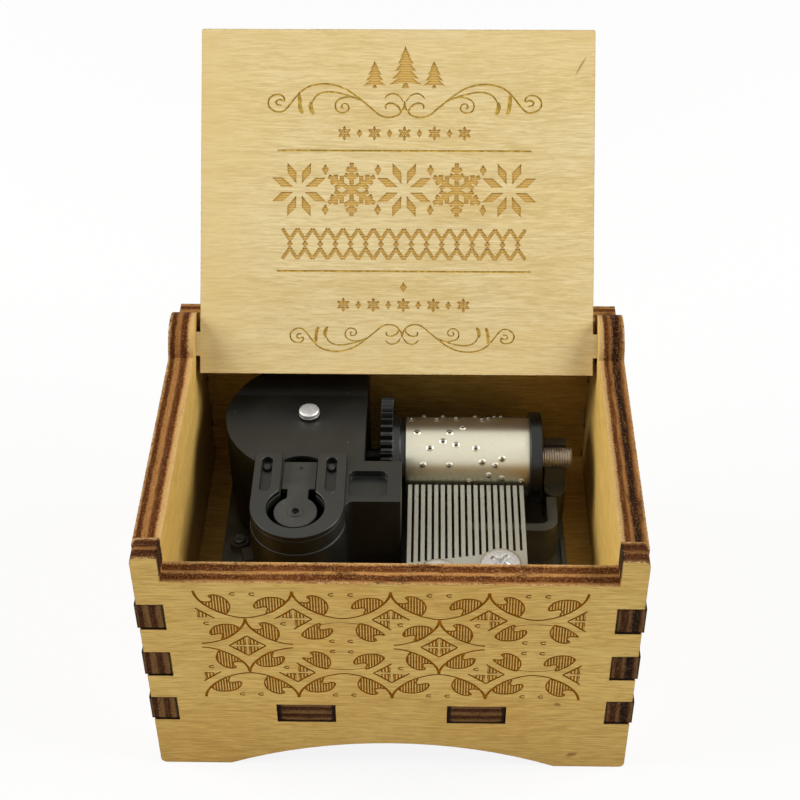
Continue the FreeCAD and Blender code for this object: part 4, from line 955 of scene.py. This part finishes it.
def burnt_line(name, place):
    """Line burnt by the beam: brown, darker in spots where the beam slowed, and golden on the lid. It also
    colours the walls of what is engraved, as burn and partly as painted shade of the recess.
    """
    shader = Shader(name + "_burnt_line")
    at = shader.space(**place)
    tint = shade(colour_of("engraved"), 0.92, 0.97, 0.79) if name == "lid" else colour_of("burnt")
    spots = shader.noise(at, (1, 1, 1), 0.6)
    base = shader.mix(spots.above(0.44, 0.64) * 0.5, tint, shade(tint, 0.50))
    base = shader.mix(spots.above(0.48, 0.36) * 0.5, base, shade(tint, 1.5, 1.6, 1.9))
    return shader.surface(Base_Color=base, Roughness=0.75 + spots * 0.1, Specular_IOR_Level=0.05,
                          Normal=shader.bump(spots, 0.3, 0.05))


def engraved_area(name, place, face, seed):
    """Shallow engraved wood: the beam's fine level passes over a golden veneer."""
    shader = Shader(name + "_engraved_area")
    at = shader.space(**place)
    tint = colour_of("engraved")
    base, height = grain(shader, at, face, seed)
    base = shader.mix(0.80, base, tint)
    level = shader.part(at, 1)
    passes = level.math("PINGPONG", level, 0.17) * 6.0
    fine = shader.noise(at, (1, 1, 1), 0.4, 2.0)
    base = shader.mix((passes + fine * 0.5).above(0.35, 1.1) * 0.75, base, shade(tint, 0.72, 0.62, 0.45))
    return shader.surface(Base_Color=base, Roughness=0.74 + fine * 0.1, Specular_IOR_Level=0.2,
                          Normal=shader.bump(height + passes, 0.5, 0.06))


# Pieces of the case


def arch_radius(half):
    """Radius of the circle over a foot of this half width: (half ^ 2 + rise ^ 2) / (2 rise)."""
    return (half ** 2 + ARCH_RISE ** 2) / (2 * ARCH_RISE)


def fingers(edge, tip, slack=0.0):
    """Corners of the three fingers or notches up a board's edge: from the edge to the tip and back."""
    corners = []
    for bottom in FINGERS:
        low, high = bottom + slack, bottom + FINGER_TALL - slack
        corners += [(edge, low), (tip, low), (tip, high), (edge, high)]
    return corners


def end_outline(ears):
    """Front or back board: an arch of one circle at the foot, three notches at each side, ears or none."""
    foot, soft, ear_top, ear_foot = 21.8, 0.8, 39.8, 35.7
    right = [(foot, 0.0), (END_HALF - soft, 0.0), (END_HALF, soft, soft, 1), *fingers(END_HALF, NOTCH)]
    if ears:
        right += [(END_HALF, ear_top - soft), (END_HALF - soft, ear_top, soft, 1), (NOTCH, ear_top),
                  (NOTCH, ear_foot)]
    else:
        right.append((END_HALF, WALL_TOP))
    outline = mirrored(right)
    outline[0] = (foot, 0.0, arch_radius(foot), -1)
    return trace(outline)


def floor_slots():
    near, far = END_SLOT
    return [rectangle(near, far, FLOOR_LOW, FLOOR_HIGH), rectangle(-far, -near, FLOOR_LOW, FLOOR_HIGH)]


def side_outline(side):
    """Side board: fingers at both ends, a round hinge ear at the back and an arch at the foot."""
    near, far, reach, ear, bore = 3.5, 48.5, 3.35, 4.5, 2.5
    arch_near, arch_far = 11.0, 41.0
    step = math.sqrt(ear ** 2 - (WALL_TOP - HINGE_UP) ** 2)
    outline = [(near, 0.0), (arch_near, 0.0), (arch_far, 0.0, arch_radius((arch_far - arch_near) / 2), -1),
               (far, 0.0), *fingers(far, far + reach, KERF), (far, HINGE_UP),
               (HINGE_BACK, HINGE_UP + ear, ear, 1), (HINGE_BACK - step, WALL_TOP, ear, 1), (near, WALL_TOP),
               *reversed(fingers(near, near - reach, KERF))]
    holes = [ring(HINGE_BACK, HINGE_UP, bore),
             rectangle(MIDDLE - SIDE_SLOT_HALF, MIDDLE + SIDE_SLOT_HALF, FLOOR_LOW, FLOOR_HIGH)]
    return trace(outline) * (side, 1), [hole * (side, 1) for hole in holes]


def floor_outline():
    """Floor: tabs that reach through all four walls, with holes for the arbor and the screws."""
    edge, near, far, reach, arbor_hole, screw_hole = 28.05, 3.55, 48.45, 3.35, 3.5, 1.2
    inner, outer, half = END_SLOT[0] + KERF, END_SLOT[1] - KERF, SIDE_SLOT_HALF - KERF
    right = [(inner, near), (inner, near - reach), (outer, near - reach), (outer, near), (edge, near),
             (edge, MIDDLE - half), (edge + reach, MIDDLE - half), (edge + reach, MIDDLE + half),
             (edge, MIDDLE + half), (edge, far), (outer, far), (outer, far + reach), (inner, far + reach),
             (inner, far)]
    holes = [ring(ARBOR_AT[0], ARBOR_AT[1] - FRONT, arbor_hole)]
    return trace(mirrored(right)), holes + [ring(x, y, screw_hole) for x, y in FLOOR_SCREWS]


def lid_outline():
    """Lid: a plain rectangle with soft corners and a tab at each side."""
    half, foot, top, soft = 27.5, -4.1, 44.1, 0.35
    return trace(mirrored([(half, foot), (half, -LID_TAB), (END_HALF, -LID_TAB), (END_HALF, LID_TAB),
                           (half, LID_TAB), (half, top - soft), (half - soft, top, soft, 1)]))


class MUSICBOX_OT_front(bpy.types.Operator):
    """Front board with its engraved lattice"""
    bl_idname = "music_box.front"
    bl_label = "Front board"

    def execute(self, context):
        lattice_middle = (0.12, 24.15)
        board("front_panel", end_outline(True), floor_slots(), lattice() + lattice_middle,
              depth=size_of("lattice_depth"), seed=1.0)
        return {"FINISHED"}


class MUSICBOX_OT_walls(bpy.types.Operator):
    """Back, side and floor boards"""
    bl_idname = "music_box.walls"
    bl_label = "Other boards of the case"

    def execute(self, context):
        board("back_panel", end_outline(False), floor_slots(), seed=2.0)
        board("left_panel", *side_outline(-1), seed=3.0)
        board("right_panel", *side_outline(1), seed=4.0)
        board("floor_panel", *floor_outline(), thinner=FLOOR_THINNER, seed=5.0)
        return {"FINISHED"}


class MUSICBOX_OT_lid(bpy.types.Operator):
    """Lid with engraved trees, scrolls and a knitted band on its inner face"""
    bl_idname = "music_box.lid"
    bl_label = "Lid"

    def execute(self, context):
        board("lid", lid_outline(), (), *lid_ornament(), depth=size_of("lid_depth"), slot="wood_lid",
              body="lid", seed=6.0)
        return {"FINISHED"}


# Materials of the movement


def specks(shader, at, apart=1.6, size=0.055):
    """1 on sparse dots: near the middle of the few cells whose random number is high."""
    cells = shader.vector("MULTIPLY", at, (1 / apart,) * 3)
    near, chosen = (shader.node("TexVoronoi", {}, {"Vector": cells, "Scale": 1.0}, out=out) for out in (0, 1))
    return (1 - near.above(size * 0.7, size)) * shader.part(chosen, 0).above(0.72, 0.74)


def plastic(name, tint, rough, gloss=0.45, size=0.25):
    """Moulded plastic: faint flow marks, a fine matt skin and a few dust specks."""
    shader = Shader(name)
    at = shader.space()
    flow = shader.noise(at, (1, 1, 1), 6.0, 2.0)
    skin = shader.noise(at, (1, 1, 1), size, 3.0)
    dust = specks(shader, at)
    base = shader.mix(flow.above(0.4, 0.7), tint, shade(tint, 1.8))
    base = shader.mix(dust * 0.7, base, (0.30, 0.29, 0.26))
    roughness = rough + (flow - 0.5) * 0.14 + skin * 0.06 + dust * 0.2
    return shader.surface(Base_Color=base, Roughness=roughness, Specular_IOR_Level=gloss,
                          Normal=shader.bump(skin, 0.15, 0.05))


def metal(name, tint, rough, size=0.2, contrast=0.25, strength=0.1, along=(1, 1, 1)):
    """Bare or plated metal: fine marks that are longer along one axis, and dull patches."""
    shader = Shader(name)
    at = shader.space()
    marks = shader.noise(at, along, size, 4.0, 0.65)
    patch = shader.noise(at, (1, 1, 1), 3.0)
    base = shader.mix(marks.above(0.35, 0.75) * contrast, tint, shade(tint, 0.55))
    base = shader.mix(patch.above(0.55, 0.8) * contrast, base, shade(tint, 0.75))
    roughness = rough + marks * 0.12 + patch * 0.08
    return shader.surface(Base_Color=base, Metallic=1.0, Roughness=roughness,
                          Normal=shader.bump(marks, strength, 0.04))


class MUSICBOX_OT_castings(bpy.types.Operator):
    """Cast base, moulded covers and the governor bearing"""
    bl_idname = "music_box.castings"
    bl_label = "Base and covers"

    def execute(self, context):
        black, grey, edge = colour_of("black"), colour_of("grey"), size_of("moulded_edge")
        cover = plastic("cover_black", black, 0.37, gloss=0.5)
        dress("movement_frame", plastic("casting_black", colour_of("cast"), 0.34, gloss=0.8, size=0.12), edge)
        dress("gear_cover", cover, edge)
        dress("governor_cover", plastic("frame_black", black, 0.30, gloss=0.55), 0.14)
        dress("cover_studs", plastic("stud_black", shade(grey, 0.6), 0.6, gloss=0.3), 0.2, 3)
        dress("governor_bearing", plastic("bearing_grey", grey, 0.42), 0.09)
        dress("spring_barrel", cover)
        return {"FINISHED"}


class MUSICBOX_OT_wheels(bpy.types.Operator):
    """Gear wheels, governor and the flange of the drum"""
    bl_idname = "music_box.wheels"
    bl_label = "Wheels"

    def execute(self, context):
        gear = plastic("gear_black", shade(colour_of("black"), 0.5), 0.28, gloss=0.5)
        small = plastic("wheel_grey", colour_of("grey"), 0.45)
        for node in ("drum_gear", "drum_flange"):
            dress(node, gear, 0.07)
        for node in ("drive_gear", "middle_wheel", "governor_spindle", "governor_rotor"):
            dress(node, small, 0.03, 1)
        return {"FINISHED"}


class MUSICBOX_OT_comb(bpy.types.Operator):
    """Comb of eighteen teeth and its weights"""
    bl_idname = "music_box.comb"
    bl_label = "Comb"

    def execute(self, context):
        dress("comb", metal("comb_steel", colour_of("steel"), 0.42, 0.12, 0.4, along=(1.0, 0.12, 1.0)), 0.05)
        dress("comb_weights", metal("weight_lead", (0.22, 0.22, 0.23), 0.6), 0.08)
        return {"FINISHED"}


# Turned parts of the movement


# Each screw: radius and height of its head, radius and length of its shank, and the reach, width and depth
# of the cross in its head.
COMB_SCREW = (2.75, 1.3, 1.0, 5.5, (1.5, 0.62, 0.75))
FLOOR_SCREW = (2.0, 1.2, 0.9, 4.4, (1.2, 0.5, 0.6))
RIM_SCREW = (0.95, 0.45, 0.5, 1.0, (0.55, 0.2, 0.25))


def within(value, limit, soft):
    """1 where a value is well under its limit, 0 well over it, and a smooth step between."""
    part = np.clip((limit + soft - value) / (2 * soft), 0, 1)
    return part * part * (3 - 2 * part)


def screw(head, tall, shank, long, cross, turn=0.0, segments=72):
    """A screw that stands on its seat at height 0: a cap with a cross recess, and a grooved shank below.

    From the cap's middle, s = 0, to its rim, s = 1: radius = head sin(s pi / 2) and
    height = tall (0.25 + 0.75 (1 - s ^ 5) ^ (1 / 2.2)). The recess takes away depth (1 - 0.55 r / reach)
    within half the width of an arm of the cross and within its reach, with soft steps between.
    """
    reach, width, depth = cross
    rows, groove_pitch, groove_depth, neck, chamfer = 34, 0.25, 0.16, 0.1, 0.08
    share = np.linspace(0, 1, rows)
    radius = head * np.sin(share * np.pi / 2)
    height = tall * (0.25 + 0.75 * (1 - share ** 5) ** (1 / 2.2))
    teeth = np.arange(int(long / groove_pitch))
    groove = np.stack([shank * (1 - groove_depth * (teeth % 2)), -neck - groove_pitch * teeth], 1)
    below = [(head, tall * 0.12), (head - chamfer, 0.0), (shank, 0.0), *groove, (shank * 0.6, -long),
             (0.0, -long)]
    points, faces = turned(np.concatenate([np.stack([radius, height], 1), below]), segments)
    x, y = points[:, 0], points[:, 1]
    way = math.radians(turn)
    x, y = np.abs(x * math.cos(way) + y * math.sin(way)), np.abs(y * math.cos(way) - x * math.sin(way))
    away = np.hypot(x, y)
    soft = 0.09 * head / COMB_SCREW[0] + 0.03
    arm = np.maximum(within(x, width / 2, soft), within(y, width / 2, soft))
    deep = arm * within(away, reach, soft) * (1 - 0.55 * np.clip(away / reach, 0, 1))
    top = np.arange(len(points)) < rows * segments
    points[:, 2] -= np.where(top, deep * depth, 0.0)
    return points, faces


def placed(shapes):
    """Several grids of points and quads as one, each moved to its place."""
    points, faces, start = [], [], 0
    for (own, quads), place in shapes:
        points.append(own + place)
        faces.append(quads + start)
        start += len(own)
    return np.concatenate(points), faces


def threaded_pin():
    """The pivot screw of the drum along X: a plain nose, and a thread that narrows at both its ends.

    The thread's radius is radius - 3.2 lift abs(phase - 0.5), where phase is the part after the point of
    x / pitch - angle / 360.
    """
    first, last = box("pivot_screw")[:, 0]
    radius, nose, nose_end, pitch, lift, segments = 1.48, 0.8, 20.6, 0.36, 0.10, 48
    x = np.linspace(nose_end, last, int((last - nose_end) / pitch * 7))[:, None] + 0 * around(segments)
    phase = (x / pitch - around(segments) / (2 * np.pi)) % 1.0
    ends = np.minimum((x - nose_end) * 1.2 + nose + 0.2, (last - x) * 1.5 + radius - 0.35)
    thread = np.minimum(np.minimum(ends, radius), radius - lift * 2 * np.abs(phase - 0.5) * 1.6)
    nose_rows = [(0.0, first), (nose - 0.1, first), (nose, first + 0.15), (nose, nose_end)]
    tip_rows = [(radius * 0.55, last), (radius * 0.5, last - 0.25), (0.0, last - 0.25)]
    nose_part, tip_part = (np.repeat(np.array(rows)[:, None], segments, 1) for rows in (nose_rows, tip_rows))
    profile = np.concatenate([nose_part, np.stack([thread, x], -1), tip_part])
    points, faces = turned(profile, segments)
    return points[:, [2, 0, 1]] + (0.0, *DRUM_AT), faces


class MUSICBOX_OT_screws(bpy.types.Operator):
    """Cross-head screws and the pivot pin of the drum"""
    bl_idname = "music_box.screws"
    bl_label = "Screws"

    def execute(self, context):
        bright = metal("screw_plating", colour_of("screw"), 0.28, size=0.35, contrast=0.6, strength=0.4)
        dark = metal("screw_black", (0.130, 0.128, 0.120), 0.42, size=0.35, contrast=0.5, strength=0.3)
        thread = metal("thread_steel", (0.72, 0.67, 0.62), 0.38, size=0.3, contrast=0.4)
        comb_seat, floor_seat, rim_seat = 23.6, 9.0, 15.0
        comb = [(screw(*COMB_SCREW, turn), (x, FRONT + y, comb_seat))
                for x, y, turn in ((6.0, 12.2, 20.0), (14.3, 14.2, 52.0))]
        points, faces = screw(*FLOOR_SCREW, 12.0)
        hung = [((points * (1, -1, -1), faces), (x, FRONT + y, floor_seat)) for x, y in FLOOR_SCREWS]
        rim = [(screw(*RIM_SCREW, 30.0, 48), (*box("flange_screw").mean(0)[:2], rim_seat))]
        for name, node, material, slot, shapes in (
                ("comb_screw_heads", "comb_screws", bright, "screw_bright", comb),
                ("floor_screws", "mounting_screws", bright, "screw_bright", hung),
                ("rim_screw", "flange_screw", dark, "screw_dull", rim)):
            make_piece(name, *placed(shapes), [material], "case", slot, (node,), 38.0)
        make_piece("pivot_pin", *threaded_pin(), [thread], "case", "screw_dull", ("pivot_screw",), 30.0)
        return {"FINISHED"}


class MUSICBOX_OT_winding(bpy.types.Operator):
    """Winding arbor with its rivet, ratchet, spring and key"""
    bl_idname = "music_box.winding"
    bl_label = "Winding parts"

    def execute(self, context):
        bright = metal("arbor_steel", colour_of("screw"), 0.25, size=0.3, along=(1, 1, 0.2))
        blue = metal("spring_steel", (0.22, 0.24, 0.27), 0.35, size=0.2, along=(1, 1, 0.1))
        dark = metal("arbor_dark", (0.035, 0.034, 0.030), 0.5)
        cap = metal("rivet_steel", (0.62, 0.62, 0.60), 0.42, size=0.4, contrast=0.7, strength=0.5)
        collar_top = 0.34
        profile = fillet([(0.0, 0.0), (1.5, 0.0), (1.5, 0.30), (1.42, 0.36), (1.42, 0.92), (1.15, 1.06),
                          (0.0, 1.10)], 0.10, 5)
        points, faces = turned(profile, 64)
        collar = points[faces[:, 0], 2] < collar_top
        make_piece("rivet", points + (*ARBOR_AT, box("arbor_cap")[0, 2]), faces, [cap, dark], "winding",
                   "screw_bright", ("arbor_cap",), 40.0, collar)
        dress("winding_arbor", bright, 0.05)
        dress("wheel_pin", bright)
        dress("drum_arbor", dark)
        dress("mainspring", blue)
        dress("ratchet_click", blue, 0.05)
        dress("ratchet_wheel", metal("ratchet_brass", (0.60, 0.44, 0.20), 0.3), 0.04)
        dress("winding_key", metal("key_nickel", (0.66, 0.64, 0.58), 0.22, size=0.6, contrast=0.2), 0.25, 3)
        return {"FINISHED"}


# The tune: the teeth that are plucked at each step of the drum, and a step in degrees.
NOTE_STEP = 5.0
NOTES = {
    1: (9, 17), 2: (14,), 3: (12,), 6: (2, 6, 13), 7: (11,), 8: (14,), 11: (3, 10), 12: (7,),
    13: (5,), 16: (1, 6), 18: (8,), 22: (0, 4, 11), 23: (7, 12), 26: (2, 5, 10, 13, 14),
    30: (8,), 32: (3, 15), 35: (9,), 38: (1, 12, 16), 41: (6,), 44: (4, 11), 47: (13,),
    50: (2, 8, 17), 53: (10,), 56: (5, 14), 59: (12,), 62: (0, 7, 15), 65: (9,), 68: (3, 11),
}


def drum_tube():
    """The drum's shell round X: a tube with rounded rims."""
    left, right = box("drum_shell")[:, 0]
    middle, rim_round = (DRUM_BORE + DRUM_RADIUS) / 2, 0.12
    rim = [(middle, right), (DRUM_BORE, right), (DRUM_BORE, left), (DRUM_RADIUS, left), (DRUM_RADIUS, right),
           (middle, right)]
    points, faces = turned(fillet(rim, rim_round), 128)
    return points[:, [2, 0, 1]] * (1, -1, 1) + (0.0, *DRUM_AT), faces


def drum_pins():
    """All pins and the swellings they stand on, as grids (pin, ring, angle) worked out at once.

    A swelling falls from the pin as a smooth step to nothing at its rim, bent with the drum:
    height + sqrt(R ^ 2 - side ^ 2) from the axis. A pin's top is half an ellipse.
    """
    tall, swell, swell_tall, sunk, segments = 0.42, 0.60, 0.12, 0.03, 16
    first_tooth, tooth_step, tooth_middle = 1.8, 0.915, 0.29
    pin, pin_foot = size_of("pin_radius"), 0.10
    share = np.linspace(0, 1, 6)
    mound = np.stack([swell - (swell - pin) * share, swell_tall * share ** 2 * (3 - 2 * share) - sunk], 1)
    bow = np.linspace(0, np.pi / 2, 6)
    dome = np.stack([pin * np.cos(bow), pin_foot + (tall - pin_foot) * np.sin(bow)], 1)
    profile = np.concatenate([mound, dome])
    angle = around(segments)
    along = profile[:, :1] * np.cos(angle)
    side = profile[:, :1] * np.sin(angle)
    away = profile[:, 1:] + np.sqrt(DRUM_RADIUS ** 2 - side ** 2)
    places = np.array([(first_tooth + tooth_step * tooth + tooth_middle, math.radians(NOTE_STEP * step))
                       for step, teeth in NOTES.items() for tooth in teeth])
    x, turn = places[:, 0, None, None], places[:, 1, None, None]
    points = np.stack([x + along, -away * np.cos(turn) - side * np.sin(turn),
                       away * np.sin(turn) - side * np.cos(turn)], -1)
    quads = grid_faces(len(profile), segments)
    faces = quads + (np.arange(len(places)) * len(profile) * segments)[:, None, None]
    steel = np.arange(len(quads)) >= (len(mound) - 1) * segments
    return points.reshape(-1, 3) + (0.0, *DRUM_AT), faces.reshape(-1, 4), np.tile(steel, len(places))


class MUSICBOX_OT_drum(bpy.types.Operator):
    """Plated drum with its pins"""
    bl_idname = "music_box.drum"
    bl_label = "Drum"

    def execute(self, context):
        tube, sides = drum_tube()
        pins, quads, steel = drum_pins()
        plating = metal("drum_plating", colour_of("nickel"), 0.25, size=0.5, contrast=0.12, strength=0.05)
        tips = metal("pin_steel", (0.14, 0.135, 0.11), 0.26, size=0.3)
        kinds = np.concatenate([np.zeros(len(sides), int), steel])
        make_piece("drum_skin", np.concatenate([tube, pins]), [sides, quads + len(tube)], [plating, tips],
                   "drum", "drum_nickel", ("drum_shell",), 30.0, kinds)
        return {"FINISHED"}


# Stage


class MUSICBOX_OT_stage(bpy.types.Operator):
    """Camera of the photograph, floor, world and lamps"""
    bl_idname = "music_box.stage"
    bl_label = "Camera and light"

    def execute(self, context):
        scene, stage = context.scene, context.scene.music_box_stage
        scene.view_settings.view_transform = "Standard"
        yaw, pitch, roll = -0.0233873, 0.7110204, -0.0080758
        place = Vector((4.60968, FRONT - 134.1569, 180.7757)) * MM
        ahead = Vector((math.sin(yaw) * math.cos(pitch), math.cos(yaw) * math.cos(pitch), -math.sin(pitch)))
        level = Vector((math.cos(yaw), -math.sin(yaw), 0.0))
        raised = level.cross(ahead)
        right = math.cos(roll) * level + math.sin(roll) * raised
        up = math.cos(roll) * raised - math.sin(roll) * level
        lens = bpy.data.cameras.new("photo_camera")
        lens.lens, lens.sensor_width, lens.clip_start = stage.focal, 36.0, 0.005
        camera = bpy.data.objects.new("photo_camera", lens)
        camera.matrix_world = Matrix.Translation(place) @ Matrix((right, up, -ahead)).transposed().to_4x4()
        scene.collection.objects.link(camera)
        scene.camera = camera

        floor = self.plain_floor(scene)
        self.plain_world(scene, stage)
        target = Vector((0.0, -0.01, 0.03))
        for name, watts, place, wide, tall in (
                ("key_lamp", stage.key, (-0.42, -0.01, 0.27), 0.26, 0.26),
                ("fill_lamp", stage.fill, (0.39, -0.01, 0.31), 0.26, 0.26),
                ("front_lamp", stage.front, (0.0, -0.55, 0.07), 0.5, 0.06)):
            lamp = bpy.data.lights.new(name, "AREA")
            lamp.shape, lamp.size, lamp.size_y = "RECTANGLE", wide, tall
            lamp.energy, lamp.color = watts, (1.0, 0.99, 0.97)
            holder = bpy.data.objects.new(name, lamp)
            holder.visible_camera = False
            aim = (target - Vector(place)).to_track_quat("-Z", "Y").to_matrix().to_4x4()
            holder.matrix_world = Matrix.Translation(place) @ aim
            scene.collection.objects.link(holder)
        return {"FINISHED"}

    def plain_floor(self, scene):
        """A pale sheet that is nearly white to the camera, with the object's shadow, and white far away."""
        mesh = bpy.data.meshes.new("floor")
        mesh.from_pydata([(-2, -2, 0), (2, -2, 0), (2, 2, 0), (-2, 2, 0)], [], [(0, 1, 2, 3)])
        shader = Shader("floor_white")
        paper = shader.node("BsdfDiffuse", {}, {"Color": (0.86, 0.86, 0.86)})
        glow = shader.node("Emission", {}, {"Color": (1.0, 1.0, 1.0), "Strength": 1.0})
        away = shader.vector("LENGTH", shader.node("TexCoord", out="Object"), out=1)
        share = self.seen(shader) * (0.88 + away.above(0.1, 0.45) * 0.12)
        mixed = shader.node("MixShader", {}, {0: share, 1: paper, 2: glow})
        shader.node("OutputMaterial", {}, {"Surface": mixed})
        mesh.materials.append(shader.material)
        floor = bpy.data.objects.new("floor", mesh)
        scene.collection.objects.link(floor)
        return floor

    def seen(self, shader):
        """1 for what the camera sees, straight or in a gloss."""
        camera, gloss, glass = (shader.node("LightPath", out=f"Is {kind} Ray")
                                for kind in ("Camera", "Glossy", "Transmission"))
        return camera.math("MAXIMUM", camera.math("MAXIMUM", camera, gloss), glass)

    def plain_world(self, scene, stage):
        scene.world = bpy.data.worlds.new("studio")
        shader = Shader("studio", scene.world)
        strength = self.seen(shader) * (1.0 - stage.world) + stage.world
        light = shader.node("Background", {}, {"Color": (1.0, 1.0, 1.0), "Strength": strength})
        shader.node("OutputWorld", {}, {"Surface": light})


class MUSICBOX_PT_panel(bpy.types.Panel):
    """Sizes, colours and the pieces in the order in which they are built"""
    bl_idname = "MUSICBOX_PT_panel"
    bl_label = "Music Box"
    bl_space_type = "VIEW_3D"
    bl_region_type = "UI"
    bl_category = "Music Box"

    def draw(self, context):
        for name, group in GROUPS.items():
            column = self.layout.box()
            for key in group.__annotations__:
                column.prop(getattr(context.scene, name), key)
        for step in STEPS:
            self.layout.operator(step.bl_idname)


STEPS = (MUSICBOX_OT_stage, MUSICBOX_OT_front, MUSICBOX_OT_walls, MUSICBOX_OT_lid, MUSICBOX_OT_castings,
         MUSICBOX_OT_wheels, MUSICBOX_OT_comb, MUSICBOX_OT_screws, MUSICBOX_OT_winding, MUSICBOX_OT_drum)
GROUPS = {"music_box_sizes": MusicBoxSizes, "music_box_colours": MusicBoxColours,
          "music_box_stage": MusicBoxStage}


def register():
    for group in GROUPS.values():
        bpy.utils.register_class(group)
    for step in STEPS + (MUSICBOX_PT_panel,):
        bpy.utils.register_class(step)
    for name, group in GROUPS.items():
        setattr(bpy.types.Scene, name, PointerProperty(type=group))


def unregister():
    for name in GROUPS:
        delattr(bpy.types.Scene, name)
    for item in reversed(tuple(GROUPS.values()) + STEPS + (MUSICBOX_PT_panel,)):
        bpy.utils.unregister_class(item)


def main():
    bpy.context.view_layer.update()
    register()
    for step in STEPS:
        group, name = step.bl_idname.split(".")
        getattr(getattr(bpy.ops, group), name)()


if __name__ == "__main__":
    main()
